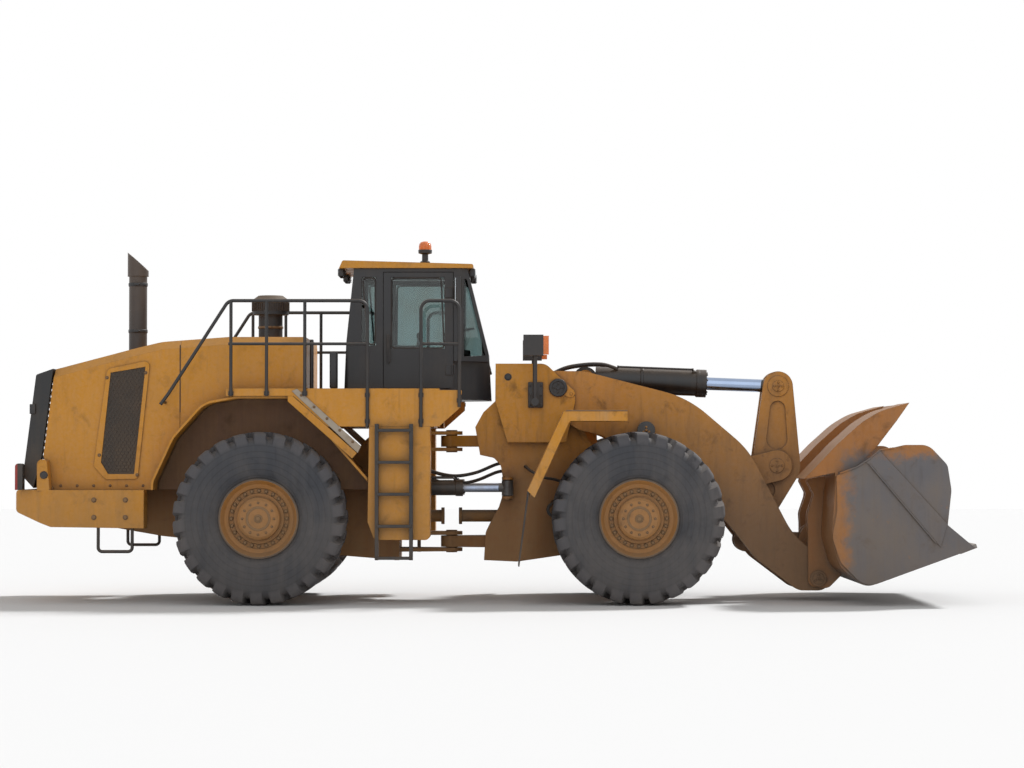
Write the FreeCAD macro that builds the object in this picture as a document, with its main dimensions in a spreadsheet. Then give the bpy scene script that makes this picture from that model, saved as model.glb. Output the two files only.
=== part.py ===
import FreeCAD, Part
import math
import os
from collections import namedtuple
from types import SimpleNamespace
import Sketcher
from FreeCAD import Placement, Rotation, Vector

# Articulated wheel loader of the fifty tonne class.
# Millimetres. +X points forward, +Y to the machine's left, +Z up, and the tyres stand on z = 0.
# The machine is two frames joined by a vertical hinge half way between the axles: the rear one
# carries the engine and the cab, and the front one the boom, its linkage and the bucket.

doc = FreeCAD.newDocument("wheel_loader")

# Driving dimensions. A "reach" is measured along X from the datum that is named beside it, a
# "height" from the ground, and a "side" from the middle plane.
sizes = {
    # the running gear
    "hinge_place": -498,          # hinge axis between the frames, from the origin
    "wheel_base": 4550,
    "tyre_radius": 1041,
    "tyre_width": 889,
    "tyre_track": 2590,           # middle of the left tyre to middle of the right tyre
    "lug_depth": 62,
    "lug_count": 26,
    "lug_shoulder": 75,
    "lug_overlap": 40,            # each lug runs this far past the tyre's middle
    "rim_radius": 480,
    "rim_seat_radius": 440,
    "rim_flange": 22,
    "disc_radius": 355,
    "hub_radius": 262,
    "hub_proud": 60,
    "axle_tube_radius": 185,
    "axle_bowl_radius": 345,
    # the rear frame
    "rail_side": 400,
    "rail_gauge": 30,
    "rail_top": 1500,
    "rail_tail_reach": 2440,      # rear axle to the rails' tail
    "bulkhead_reach": 640,        # hinge to the cross wall behind it
    "bulkhead_gauge": 60,
    "bulkhead_top": 2086,
    "hinge_pin_radius": 70,
    "hinge_boss_radius": 135,
    "hinge_gap": 10,
    "fork_gauge": 45,
    "upper_hinge_height": 1975,
    "lower_hinge_height": 725,
    "tongue_gauge": 140,
    "shaft_radius": 75,
    # the rear body
    "hood_side": 1150,
    "hood_wall": 12,
    "hood_top": 3240,
    "hood_bevel": 95,             # along the hood's top edges
    "hood_seam": 4,               # gap between the hood's panels
    "hood_front_reach": 509,      # rear axle forward to the hood's front wall
    "hood_tail_reach": 2531,      # rear axle back to the hood's tail
    "well_side": 800,             # inner wall of the wheel arch
    "fender_side": 1400,
    "fender_gauge": 30,
    "weight_side": 1400,
    "weight_top": 1380,
    "weight_tail_reach": 3004,    # rear axle back to the counterweight's tail
    "tow_pin_radius": 30,
    "tie_down_radius": 35,        # shackle holes low in the frames' side plates
    "grille_side": 1130,
    "grille_frame": 90,
    "slat_count": 14,
    "engine_length": 1500,
    "engine_side": 360,
    "engine_height": 1050,
    "stack_side": 300,
    "stack_radius": 112,
    "stack_wall": 9,
    "stack_top": 4322,
    "stack_reach": 1625,          # rear axle back to the exhaust stack
    "cleaner_radius": 225,
    "cleaner_neck_radius": 150,
    "cleaner_top": 3799,
    # the walkways
    "walkway_side": 1450,
    "walkway_gauge": 45,
    "skirt_gauge": 12,
    "skirt_low": 2144,
    "deck_height": 2604,
    "tank_inner_side": 960,
    "tank_bottom": 779,
    "ladder_side": 1510,
    "stile_gauge": 45,
    "rung_count": 5,
    "rail_tube_radius": 21,
    "rail_bend": 110,
    "handrail_top": 3660,
    "handrail_middle": 3140,
    # the cab
    "cab_side": 850,
    "cab_wall": 50,
    "cab_floor": 2481,
    "cab_top": 4092,
    "cab_back_reach": 1307,       # hinge back to the cab's rear foot
    "cab_front_reach": 498,       # hinge forward to the cab's front foot
    "cab_nose_side": 560,
    "roof_gauge": 95,
    "roof_side": 890,
    "glass_gauge": 10,
    "door_gap": 6,
    # the front frame
    "plate_side": 390,            # inner face of the frame's deep side plates
    "tower_side": 550,            # inner face of the outer plates round the boom's pivot
    "tower_gauge": 40,
    "tower_top": 2930,
    "boom_pin_reach": 1324,       # hinge forward to the boom's pivot
    "boom_pin_height": 2631,
    "boom_pin_radius": 75,
    "fender_inner": 870,
    "fender_outer": 1700,
    "fender_top": 2338,
    "fender_lip": 130,
    # the working arm, measured from the boom's pivot
    "boom_side": 440,
    "boom_gauge": 100,
    "boom_reach": 3204,           # boom pivot forward to the bucket pin
    "boom_drop": 2349,            # boom pivot down to the bucket pin
    "lever_pin_reach": 2729,
    "lever_pin_drop": 961,
    "lever_upper_reach": 24,      # lever pivot forward to its upper pin
    "lever_upper_rise": 992,
    "lever_lower_reach": 385,     # lever pivot back to its lower pin
    "lever_lower_drop": 925,
    "lever_plate_side": 86,
    "lever_gauge": 90,
    "arm_pin_radius": 70,
    "link_pin_radius": 55,
    "pin_gap": 2,                 # between a pin and its bore
    "tilt_base_reach": 347,       # boom pivot forward to the tilt cylinder's base pin
    "tilt_base_rise": 124,
    "tilt_barrel_radius": 160,
    "tilt_rod_radius": 80,
    "tilt_eye_side": 70,
    "tilt_rod_shown": 890,        # bare rod and eye, from the barrel's end to the lever's pin
    "lift_side": 700,
    "lift_base_back": 51,         # boom pivot back to the lift cylinder's base pin
    "lift_base_drop": 1500,
    "lift_eye_reach": 1079,
    "lift_eye_drop": 526,
    "lift_barrel_radius": 100,
    "lift_rod_radius": 60,
    "lift_pin_radius": 58,
    "lift_rod_shown": 165,
    "steer_side": 600,
    "steer_height": 1395,
    "steer_back_reach": 850,      # hinge back to the steering cylinder's base
    "steer_front_reach": 700,
    "steer_barrel_radius": 90,
    "steer_barrel_length": 1000,
    "steer_rod_radius": 50,
    "steer_pin_radius": 35,
    # the bucket, measured from the bucket pin
    "bucket_side": 1880,
    "bucket_side_gauge": 40,
    "wear_gauge": 18,
    "guard_inset": 160,           # bucket's side to the spill guard's end
    "guard_gauge": 25,
    "guard_notch_side": 640,      # the spill guard steps forward between these sides
    "ear_gauge": 48,
    "ear_gap": 12,
    "bucket_upper_pin_back": 105,
    "bucket_upper_pin_rise": 423,
}
sheet = doc.addObject("Spreadsheet::Sheet", "Sizes")
for row, (alias, value) in enumerate(sizes.items(), start=1):
    sheet.set(f"A{row}", str(value))
    sheet.setAlias(f"A{row}", alias)
doc.recompute()


class Size:
    """A length, with the expression that works it out from the sheet."""

    def __init__(self, value, text):
        self.value = value
        self.text = text

    def __float__(self):
        return float(self.value)

    def __add__(self, other):
        return Size(self.value + float(other), f"({self.text} + {written(other)})")

    __radd__ = __add__

    def __sub__(self, other):
        return Size(self.value - float(other), f"({self.text} - {written(other)})")

    def __rsub__(self, other):
        return Size(float(other) - self.value, f"({written(other)} - {self.text})")

    def __mul__(self, factor):
        return Size(self.value * float(factor), f"({self.text} * {written(factor)})")

    __rmul__ = __mul__

    def __truediv__(self, factor):
        return Size(self.value / float(factor), f"({self.text} / {written(factor)})")

    def __rtruediv__(self, share):
        return Size(float(share) / self.value, f"({written(share)} / {self.text})")

    def __neg__(self):
        return Size(-self.value, f"(0 - {self.text})")


def written(size):
    """A size as the text of an expression."""
    return size.text if isinstance(size, Size) else f"{float(size):.6f}"


def bind(feature, bindings):
    """Ties a feature's properties to the sheet."""
    for path, size in bindings.items():
        feature.setExpression(path, written(size))


v = SimpleNamespace(**{alias: Size(float(sheet.get(alias)), f"Sizes.{alias}") for alias in sizes})
Spot = namedtuple("Spot", "x y z")


def moved(spot, x=0, y=0, z=0):
    return Spot(spot.x + x, spot.y + y, spot.z + z)


def box(x_low, x_high, y_low, y_high, z_low, z_high):
    block = doc.addObject("Part::Box", "Block")
    bind(block, {
        "Length": x_high - x_low, "Width": y_high - y_low, "Height": z_high - z_low,
        "Placement.Base.x": x_low, "Placement.Base.y": y_low, "Placement.Base.z": z_low,
    })
    return block


def cross_rod(spot, radius, side_low, side_high):
    """A round across the machine, at a point of the side view."""
    shape = doc.addObject("Part::Cylinder", "CrossRod")
    shape.Placement = Placement(Vector(), Rotation(Vector(1, 0, 0), -90))
    bind(shape, {
        "Radius": radius, "Height": side_high - side_low,
        "Placement.Base.x": spot.x, "Placement.Base.y": side_low, "Placement.Base.z": spot.z,
    })
    return shape


def rod(start, end, radius, end_radius=None):
    """A round or a cone from one point to another in the same side plane."""
    run = written(end.x - start.x)
    rise = written(end.z - start.z)
    shape = doc.addObject("Part::Cylinder" if end_radius is None else "Part::Cone", "Rod")
    if end_radius is None:
        bind(shape, {"Radius": radius})
    else:
        bind(shape, {"Radius1": radius, "Radius2": end_radius})
    shape.setExpression("Height", f"sqrt(({run})^2 + ({rise})^2)")
    foot = "; ".join(written(size) for size in start)
    shape.setExpression("Placement", f"placement(vector({foot}); "
                                     f"rotation(vector(0; 1; 0); atan2({run}; {rise})))")
    return shape


def corners(points, closed):
    """Where the sides of an outline start and end, and the arcs between them."""
    spots = [Vector(float(point[0]), float(point[1]), 0) for point in points]
    found = []
    for i, (here, point) in enumerate(zip(spots, points)):
        if len(point) == 2 or (not closed and i in (0, len(points) - 1)):
            found.append((here, here, None))
            continue
        back = (spots[i - 1] - here).normalize()
        ahead = (spots[(i + 1) % len(spots)] - here).normalize()
        half = back.getAngle(ahead) / 2
        radius = float(point[2])
        start = here + back * (radius / math.tan(half))
        end = here + ahead * (radius / math.tan(half))
        centre = here + (back + ahead).normalize() * (radius / math.sin(half))
        turns_left = back.cross(ahead).z < 0
        first, last = (start, end) if turns_left else (end, start)
        low = math.atan2(first.y - centre.y, first.x - centre.x)
        high = math.atan2(last.y - centre.y, last.x - centre.x)
        arc = Part.ArcOfCircle(Part.Circle(centre, Vector(0, 0, 1), radius), low,
                               high if high > low else high + 2 * math.pi)
        found.append((start, end, (arc, turns_left)))
    return spots, found


def origin_plane(body, role):
    return [plane for plane in body.Origin.OriginFeatures if plane.Role == role][0]


def draw(body, role, points, offset, closed=True):
    """A sketch of straight sides and round corners on one of the body's own origin planes.

    A point is (across, up) or (across, up, corner radius), and each one is tied to the sheet."""
    sketch = body.newObject("Sketcher::SketchObject", "Outline")
    sketch.AttachmentSupport = (origin_plane(body, role), "")
    sketch.MapMode = "FlatFace"
    bind(sketch, {"AttachmentOffset.Base.z": offset})
    spots, found = corners(points, closed)
    count = len(points)
    sides = count if closed else count - 1
    shapes = [Part.LineSegment(found[i][1], found[(i + 1) % count][0]) for i in range(sides)]
    rules = []
    ties = {}
    for i, (start, end, corner) in enumerate(found):
        before = (i - 1) % count
        if corner:
            arc, turns_left = corner
            arc_place = len(shapes)
            shapes += [arc, Part.Point(spots[i])]
            mark = arc_place + 1
            first, last = (1, 2) if turns_left else (2, 1)
            rules += [("Tangent", before, 2, arc_place, first), ("Tangent", arc_place, last, i, 1),
                      ("PointOnObject", mark, 1, before), ("PointOnObject", mark, 1, i)]
            ties[len(rules)] = points[i][2]
            rules.append(("Radius", arc_place, float(points[i][2])))
            held = (mark, 1)
        elif closed or 0 < i < count - 1:
            rules.append(("Coincident", before, 2, i, 1))
            held = (i, 1)
        else:
            held = (i, 1) if i == 0 else (before, 2)
        for kind, size, place in (("DistanceX", points[i][0], spots[i].x),
                                  ("DistanceY", points[i][1], spots[i].y)):
            ties[len(rules)] = size
            rules.append((kind, -1, 1, *held, place))
    sketch.addGeometry(shapes, False)
    sketch.addConstraint([Sketcher.Constraint(*rule) for rule in rules])
    for place, size in ties.items():
        if isinstance(size, Size):
            sketch.setExpression(f"Constraints[{place}]", size.text)
    return sketch


def padded(role, points, offset, length, name="Plate"):
    body = doc.addObject("PartDesign::Body", name)
    sketch = draw(body, role, points, offset)
    pad = body.newObject("PartDesign::Pad", "Pad")
    pad.Profile = sketch
    bind(pad, {"Length": length})
    return body


def slab(points, side_low, side_high):
    """A side profile in X and Z, as thick as the two sides are apart."""
    return padded("XZ_Plane", points, -side_high, side_high - side_low)


def plan_slab(points, low, high):
    """A plan profile in X and Y, between two heights."""
    return padded("XY_Plane", points, low, high - low)


def tube(points, side, radius):
    """A bent tube through points (x, z, bend radius) of one side plane; it starts upright."""
    body = doc.addObject("PartDesign::Body", "Tube")
    path = draw(body, "XZ_Plane", points, -side, closed=False)
    section = body.newObject("Sketcher::SketchObject", "Section")
    section.AttachmentSupport = (origin_plane(body, "XY_Plane"), "")
    section.MapMode = "FlatFace"
    bind(section, {"AttachmentOffset.Base.z": points[0][1]})
    centre = Vector(float(points[0][0]), float(side), 0)
    section.addGeometry(Part.Circle(centre, Vector(0, 0, 1), float(radius)))
    section.addConstraint([Sketcher.Constraint("Radius", 0, float(radius)),
                           Sketcher.Constraint("DistanceX", -1, 1, 0, 3, centre.x),
                           Sketcher.Constraint("DistanceY", -1, 1, 0, 3, centre.y)])
    bind(section, {"Constraints[0]": radius, "Constraints[1]": points[0][0], "Constraints[2]": side})
    pipe = body.newObject("PartDesign::AdditivePipe", "Pipe")
    pipe.Profile = section
    pipe.Spine = (path, [""])
    return body


def turned(points, angle=360):
    """A solid of revolution about the Y axis, from (radius, side) points."""
    body = doc.addObject("PartDesign::Body", "Turning")
    sketch = draw(body, "YZ_Plane", [(point[1], point[0], *point[2:]) for point in points], 0)
    turn = body.newObject("PartDesign::Revolution", "Revolution")
    turn.Profile = sketch
    turn.ReferenceAxis = (sketch, ["H_Axis"])
    turn.Angle = angle
    return body


def mirrored(shape):
    other = doc.addObject("Part::Mirroring", "Mirror")
    other.Source = shape
    other.Normal = Vector(0, 1, 0)
    return other


def joined(shapes, refine=True):
    if len(shapes) == 1:
        return shapes[0]
    whole = doc.addObject("Part::MultiFuse", "Joined")
    whole.Shapes = shapes
    whole.Refine = refine
    return whole


def both(*shapes):
    """The shapes and their mirror images on the other side."""
    shape = joined(list(shapes))
    return [shape, mirrored(shape)]


def cut(base, *tools):
    left = doc.addObject("Part::Cut", "Cut")
    left.Base = base
    left.Tool = joined(list(tools))
    left.Refine = True
    return left


def common(one, two):
    shared = doc.addObject("Part::MultiCommon", "Common")
    shared.Shapes = [one, two]
    return shared


def span(one, two):
    """The distance between two points of one side plane."""
    run = two.x - one.x
    rise = two.z - one.z
    return Size(math.hypot(float(run), float(rise)), f"sqrt(({written(run)})^2 + ({written(rise)})^2)")


def toward(one, two, distance):
    """The point at a distance from one point on the way to another."""
    share = distance / span(one, two)
    return moved(one, (two.x - one.x) * share, 0, (two.z - one.z) * share)


def strap(start, start_radius, end, end_radius, side_low, side_high):
    """A plate round two pins: two rounds and their outer tangents."""
    turn = math.atan2(float(end.z - start.z), float(end.x - start.x))
    lean = math.acos((float(start_radius) - float(end_radius)) / float(span(start, end)))
    body = doc.addObject("PartDesign::Body", "Strap")
    sketch = body.newObject("Sketcher::SketchObject", "Outline")
    sketch.AttachmentSupport = (origin_plane(body, "XZ_Plane"), "")
    sketch.MapMode = "FlatFace"
    bind(sketch, {"AttachmentOffset.Base.z": -side_high})
    rounds = [(start, start_radius, turn + lean, turn - lean + 2 * math.pi),
              (end, end_radius, turn - lean, turn + lean)]
    arcs = []
    for spot, radius, low, high in rounds:
        circle = Part.Circle(Vector(float(spot.x), float(spot.z), 0), Vector(0, 0, 1), float(radius))
        arcs.append(Part.ArcOfCircle(circle, low, high))
    sides = [Part.LineSegment(arcs[0].EndPoint, arcs[1].StartPoint),
             Part.LineSegment(arcs[1].EndPoint, arcs[0].StartPoint)]
    sketch.addGeometry(arcs + sides, False)
    rules = [("Tangent", 0, 2, 2, 1), ("Tangent", 2, 2, 1, 1),
             ("Tangent", 1, 2, 3, 1), ("Tangent", 3, 2, 0, 1)]
    ties = {}
    for i, (spot, radius, low, high) in enumerate(rounds):
        ties[len(rules)] = radius
        rules.append(("Radius", i, float(radius)))
        for kind, size in (("DistanceX", spot.x), ("DistanceY", spot.z)):
            ties[len(rules)] = size
            rules.append((kind, -1, 1, i, 3, float(size)))
    sketch.addConstraint([Sketcher.Constraint(*rule) for rule in rules])
    bind(sketch, {f"Constraints[{place}]": size for place, size in ties.items()})
    pad = body.newObject("PartDesign::Pad", "Pad")
    pad.Profile = sketch
    bind(pad, {"Length": side_high - side_low})
    return body


def inset(points, wall):
    """The same closed outline, moved inwards by a wall; its points run anticlockwise."""
    moved_points = []
    for i, point in enumerate(points):
        before = points[i - 1]
        after = points[(i + 1) % len(points)]
        ways = []
        for one, two in ((before, point), (point, after)):
            run, rise = float(two[0]) - float(one[0]), float(two[1]) - float(one[1])
            ways.append((-rise / math.hypot(run, rise), run / math.hypot(run, rise)))
        (ax, az), (bx, bz) = ways
        reach = wall * (1 / (1 + ax * bx + az * bz))
        bends_out = ax * bz - az * bx > 0
        radius = [point[2] - wall if bends_out else point[2] + wall] if len(point) > 2 else []
        moved_points.append((point[0] + reach * (ax + bx), point[1] + reach * (az + bz), *radius))
    return moved_points


def from_datum(points, x, z=0):
    """The same outline, moved from a datum into the part's frame."""
    return [(point[0] + x, point[1] + z, *point[2:]) for point in points]


def keep(label, *shapes):
    """A named sub-part: one solid, or solids that don't touch."""
    feature = joined(list(shapes))
    feature.Label = label
    pieces[label] = feature
    return feature


pieces = {}

# Datums
hinge = v.hinge_place
rear = hinge - v.wheel_base / 2
front = hinge + v.wheel_base / 2
axle_height = v.tyre_radius
boom_pin = Spot(hinge + v.boom_pin_reach, 0, v.boom_pin_height)
bucket_pin = moved(boom_pin, v.boom_reach, 0, -v.boom_drop)
lever_pin = moved(boom_pin, v.lever_pin_reach, 0, -v.lever_pin_drop)
lever_upper = moved(lever_pin, v.lever_upper_reach, 0, v.lever_upper_rise)
lever_lower = moved(lever_pin, -v.lever_lower_reach, 0, -v.lever_lower_drop)
bucket_upper = moved(bucket_pin, -v.bucket_upper_pin_back, 0, v.bucket_upper_pin_rise)
tilt_base = moved(boom_pin, v.tilt_base_reach, 0, v.tilt_base_rise)
lift_base = moved(boom_pin, -v.lift_base_back, 0, -v.lift_base_drop)
lift_eye = moved(boom_pin, v.lift_eye_reach, 0, -v.lift_eye_drop)
steer_base = Spot(hinge - v.steer_back_reach, -v.steer_side, v.steer_height)
steer_eye = Spot(hinge + v.steer_front_reach, -v.steer_side, v.steer_height)

# Tyres: a carcass of flat sectors, with shoulder lugs that alternate from side to side.
# Each sector has its own profile, (side from the tyre's middle, radius), and a wall closes the
# step between one sector and the next.
sectors = 2 * int(float(v.lug_count))
bead_side = v.tyre_width / 2 - 90


def sector_profile(lug_side):
    """The closed profile of one sector, from bead to bead: lug_side is +1 or -1."""
    radius = float(v.tyre_radius)
    half_width = float(v.tyre_width) / 2
    floor = radius - float(v.lug_depth)
    crown = half_width - float(v.lug_shoulder)
    overlap = float(v.lug_overlap)
    left = floor if lug_side > 0 else radius
    right = floor if lug_side < 0 else radius
    seat = float(v.rim_seat_radius) / math.cos(math.pi / sectors)
    return [
        (-float(bead_side), seat), (-half_width + 25, 690), (-half_width, 860),
        (-half_width + 12, left - 25), (-crown, left), (-overlap, left), (-overlap, radius),
        (overlap, radius), (overlap, right), (crown, right), (half_width - 12, right - 25),
        (half_width, 860), (half_width - 25, 690), (float(bead_side), seat),
    ]


def tyre_shape():
    """A closed shell of flat faces about the Y axis, with its middle at the origin."""
    profiles = {side: sector_profile(side) for side in (1, -1)}
    step = 2 * math.pi / sectors

    def spot(point, angle):
        return Vector(point[1] * math.sin(angle), point[0], point[1] * math.cos(angle))

    faces = []
    for k in range(sectors):
        profile = profiles[1 if k % 2 else -1]
        following = profiles[-1 if k % 2 else 1]
        start = k * step
        end = start + step
        for one, two in zip(profile, profile[1:] + profile[:1]):
            if math.dist(one, two) > 0.001:
                corner = [spot(one, start), spot(two, start), spot(two, end), spot(one, end)]
                faces.append(Part.Face(Part.makePolygon(corner + corner[:1])))
        for i in range(len(profile) - 1):
            quad = [profile[i], profile[i + 1], following[i + 1], following[i]]
            quad = [point for j, point in enumerate(quad) if math.dist(point, quad[j - 1]) > 0.001]
            if len(quad) > 2:
                corner = [spot(point, end) for point in quad]
                faces.append(Part.Face(Part.makePolygon(corner + corner[:1])))
    shell = Part.Shell(faces)
    shell.sewShape()
    solid = Part.Solid(shell)
    if solid.Volume < 0:
        solid.reverse()
    return solid


# Rims: a flange that holds the tyre's bead, a dished disc and the planetary hub's cover.
flange_side = bead_side + 13
rim_profile = [
    (0, -flange_side + 90), (v.rim_seat_radius - 20, -flange_side + 90),
    (v.rim_seat_radius - 20, -flange_side - 20),
    (v.rim_radius, -flange_side - 20), (v.rim_radius, -flange_side), (v.rim_seat_radius, -bead_side),
    (v.rim_seat_radius, bead_side), (v.rim_radius, flange_side), (v.rim_radius, flange_side + v.rim_flange),
    (v.rim_radius - 24, flange_side + v.rim_flange), (v.rim_seat_radius - 26, flange_side - 40, 15),
    (v.disc_radius + 12, flange_side - 62), (v.disc_radius, flange_side - 78),
    (v.hub_radius + 44, flange_side - 78),
    (v.hub_radius + 38, flange_side - 58), (v.hub_radius, flange_side - 58),
    (v.hub_radius - 8, flange_side + v.hub_proud - 25, 20), (v.hub_radius - 42, flange_side + v.hub_proud),
    (0, flange_side + v.hub_proud + 8),
]
tyre = tyre_shape()
for end, axle_place in (("front", front), ("rear", rear)):
    for hand, side in (("right", -1), ("left", 1)):
        feature = doc.addObject("Part::Feature", "Tyre")
        feature.Shape = tyre
        rim = turned([(point[0], point[1] * side, *point[2:]) for point in rim_profile])
        for part, label in ((feature, f"{end}_{hand}_tyre"), (rim, f"{end}_{hand}_rim")):
            part.Label = label
            bind(part, {"Placement.Base.x": axle_place, "Placement.Base.y": v.tyre_track * (side / 2),
                        "Placement.Base.z": axle_height})
            pieces[label] = part

# Axles: a bowl for the bevel gear, tubes out to the hubs, and a brake housing inside each wheel.
tube_end = v.tyre_track / 2 - flange_side + 88
for end, axle_place, nose in (("front", front, -1), ("rear", rear, 1)):
    centre = Spot(axle_place, 0, axle_height)
    bowl = doc.addObject("Part::Sphere", "Bowl")
    bind(bowl, {"Radius": v.axle_bowl_radius, "Placement.Base.x": axle_place,
                "Placement.Base.z": axle_height})
    tubes = cross_rod(centre, v.axle_tube_radius, -tube_end, tube_end)
    nose_end = moved(centre, nose * (v.axle_bowl_radius + 150))
    snout = rod(centre, nose_end, 210, 120)
    flange = rod(moved(nose_end, nose * -30), nose_end, 150)
    brakes = both(cross_rod(centre, v.axle_tube_radius + 65, -tube_end, -tube_end + 190))
    keep(f"{end}_axle", bowl, tubes, snout, flange, *brakes)

# Rear frame: two rails, a cross wall behind the hinge, a tail wall and the hinge forks.
bulkhead_front = hinge - v.bulkhead_reach
bulkhead_back = bulkhead_front - v.bulkhead_gauge
frame_side = v.rail_side + v.rail_gauge
rail_outline = from_datum([
    (-v.rail_tail_reach, v.rail_top), (-v.rail_tail_reach, 1000),
    (-1300, 800, 300), (900, 560, 300), (v.wheel_base / 2 - v.bulkhead_reach, 500),
    (v.wheel_base / 2 - v.bulkhead_reach, v.bulkhead_top), (1250, v.bulkhead_top - 60, 120),
    (800, v.rail_top, 200),
], rear)
rear_centre = Spot(rear, 0, axle_height)
tie_down = Spot(rear - 1500, 0, 1000)
rail = cut(slab(rail_outline, -frame_side, -v.rail_side), cross_rod(tie_down, v.tie_down_radius, -900, 0),
           cross_rod(rear_centre, v.axle_tube_radius + 1, -frame_side - 10, -v.rail_side + 10))
bulkhead = cut(box(bulkhead_back, bulkhead_front, -frame_side, frame_side, 500, v.bulkhead_top),
               rod(Spot(bulkhead_back - 10, 0, axle_height), Spot(bulkhead_front + 10, 0, axle_height),
                   v.shaft_radius + 15))
tail_wall = box(rear - v.rail_tail_reach, rear - v.rail_tail_reach + 60, -frame_side, frame_side,
                1000, v.rail_top)
bolster = box(rear - 230, rear + 230, -frame_side, frame_side, v.rail_top - 60, v.rail_top)
trunnion = box(rear - 150, rear + 150, -170, 170, axle_height + v.axle_bowl_radius + 2, v.rail_top - 60)


def hinge_plate(height, gauge, root_reach, root_side):
    """A plan plate from a root to the boss round the hinge pin; root_reach is signed."""
    low = height - gauge / 2
    high = height + gauge / 2
    plan = plan_slab([(hinge + root_reach, -root_side), (hinge, -v.hinge_boss_radius),
                      (hinge, v.hinge_boss_radius), (hinge + root_reach, root_side)], low, high)
    return [plan, rod(Spot(hinge, 0, low), Spot(hinge, 0, high), v.hinge_boss_radius)]


rear_frame = both(rail) + [bulkhead, tail_wall, bolster, trunnion]
fork_step = v.tongue_gauge / 2 + v.hinge_gap + v.fork_gauge / 2
hinge_heights = (v.upper_hinge_height, v.lower_hinge_height)
for height in hinge_heights:
    for way in (-1, 1):
        rear_frame += hinge_plate(height + way * fork_step, v.fork_gauge, -v.bulkhead_reach - 20, 300)
    reach = fork_step + v.fork_gauge / 2 + 15
    rear_frame.append(rod(Spot(hinge, 0, height - reach), Spot(hinge, 0, height + reach),
                          v.hinge_pin_radius))


def steering_clevis(spot, root_side):
    """Two flat ears, one above and one below a steering cylinder's eye, on each side."""
    ears = []
    for way in (-1, 1):
        low = spot.z + way * 117 - 15
        ears.append(box(spot.x - 70, spot.x + 70, -v.steer_side, -root_side, low, low + 30))
        ears.append(rod(moved(spot, 0, 0, way * 117 - 15), moved(spot, 0, 0, way * 117 + 15), 70))
        cap = moved(spot, 0, 0, way * 138)
        ears.append(rod(moved(cap, 0, 0, -8), moved(cap, 0, 0, 8), v.steer_pin_radius + 12))
    return both(*ears)


steering_pin = rod(moved(steer_base, 0, 0, -117), moved(steer_base, 0, 0, 117), v.steer_pin_radius)
rear_frame += steering_clevis(steer_base, frame_side) + both(steering_pin)
keep("rear_frame", *rear_frame)

# Transmission and engine, each one heavy block on the rails.
engine_low = v.rail_top
engine_high = engine_low + v.engine_height
engine_back = rear - 200 - v.engine_length
keep("engine_block",
     box(engine_back, engine_back + v.engine_length, -v.engine_side, v.engine_side, engine_low,
         engine_high),
     box(engine_back + 120, engine_back + 300, -frame_side, frame_side, engine_low, engine_low + 60),
     box(rear - 460, rear - 280, -frame_side, frame_side, engine_low, engine_low + 60))
gearbox_front = bulkhead_back - 120
keep("transmission", box(rear + 500, gearbox_front, -330, 330, 720, 1370),
     box(rear + 800, rear + 900, -v.rail_side, v.rail_side, 900, 1000))

# Propeller shafts: the rear half ends short of the hinge, and the front half starts past it.
keep("rear_driveshaft",
     rod(Spot(gearbox_front, 0, axle_height), Spot(hinge - 90, 0, axle_height), v.shaft_radius),
     rod(Spot(hinge - 130, 0, axle_height), Spot(hinge - 90, 0, axle_height), v.shaft_radius + 30))
front_snout = front - v.axle_bowl_radius - 150
keep("front_driveshaft",
     rod(Spot(hinge + 90, 0, axle_height), Spot(front_snout, 0, axle_height), v.shaft_radius),
     rod(Spot(hinge + 90, 0, axle_height), Spot(hinge + 130, 0, axle_height), v.shaft_radius + 30))

# Hood: a hollow steel cover in two panels, bevelled along its top edges, with a wheel well cut out
# of each side above the rear tyre.
hood_low = v.weight_top
hood_points = from_datum([
    (-2531, hood_low), (v.hood_front_reach, hood_low), (v.hood_front_reach, v.hood_top),
    (-419, v.hood_top, 300), (-1237, v.hood_top - 61, 900), (-1609, v.hood_top - 153, 400),
    (-2523, 2846), (-2658, 1790),
], rear)
well_points = from_datum([
    (1400, 700), (1400, 1400), (420, 2514, 300), (-300, 2514, 200), (-700, 2440, 350),
    (-1075, 2019, 300), (-1320, 1488, 200), (-1365, 700),
], rear)


def bevelled(points, side, bevel):
    """A block across the machine whose long top edges are bevelled."""
    body = slab(points, -side, side)
    doc.recompute()
    edges = []
    for i, edge in enumerate(body.Shape.Edges, start=1):
        ends = [vertex.Point for vertex in edge.Vertexes]
        on_side = all(abs(abs(end.y) - float(side)) < 0.01 for end in ends) and ends[0].y * ends[-1].y > 0
        if on_side and all(end.z > 2800 for end in ends):
            edges.append(f"Edge{i}")
    chamfer = body.newObject("PartDesign::Chamfer", "Bevel")
    chamfer.Base = (body.Group[1], edges)
    bind(chamfer, {"Size": bevel})
    return body


hood_inside = inset(hood_points, v.hood_wall)
hood_inside[0] = (hood_inside[0][0], hood_low - 50)
hood_inside[1] = (hood_inside[1][0], hood_low - 50)
hood_block = bevelled(hood_points, v.hood_side, v.hood_bevel)
hood_hollow = bevelled(hood_inside, v.hood_side - v.hood_wall, v.hood_bevel - v.hood_wall * 0.586)
wells = both(slab(well_points, -v.hood_side - 50, -v.well_side))
tail_opening = box(rear - v.hood_tail_reach - 300, rear - v.hood_tail_reach + 200, -1000, 1000, 1500, 2760)
rail_notch = box(rear, rear + v.hood_front_reach + 50, -frame_side - 10, frame_side + 10,
                 hood_low - 50, v.rail_top + 6)
panel_seam = box(rear - 1003, rear - 1003 + v.hood_seam, -v.hood_side - 50, v.hood_side + 50,
                 hood_low - 50, v.hood_top + 50)
side_mesh = from_datum([(-1842, 2801), (-1956, 1713), (-1870, 1571), (-1555, 1571), (-1420, 2873)], rear)
mesh_holes = both(slab(side_mesh, -v.hood_side - 50, -v.hood_side + 50))
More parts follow.
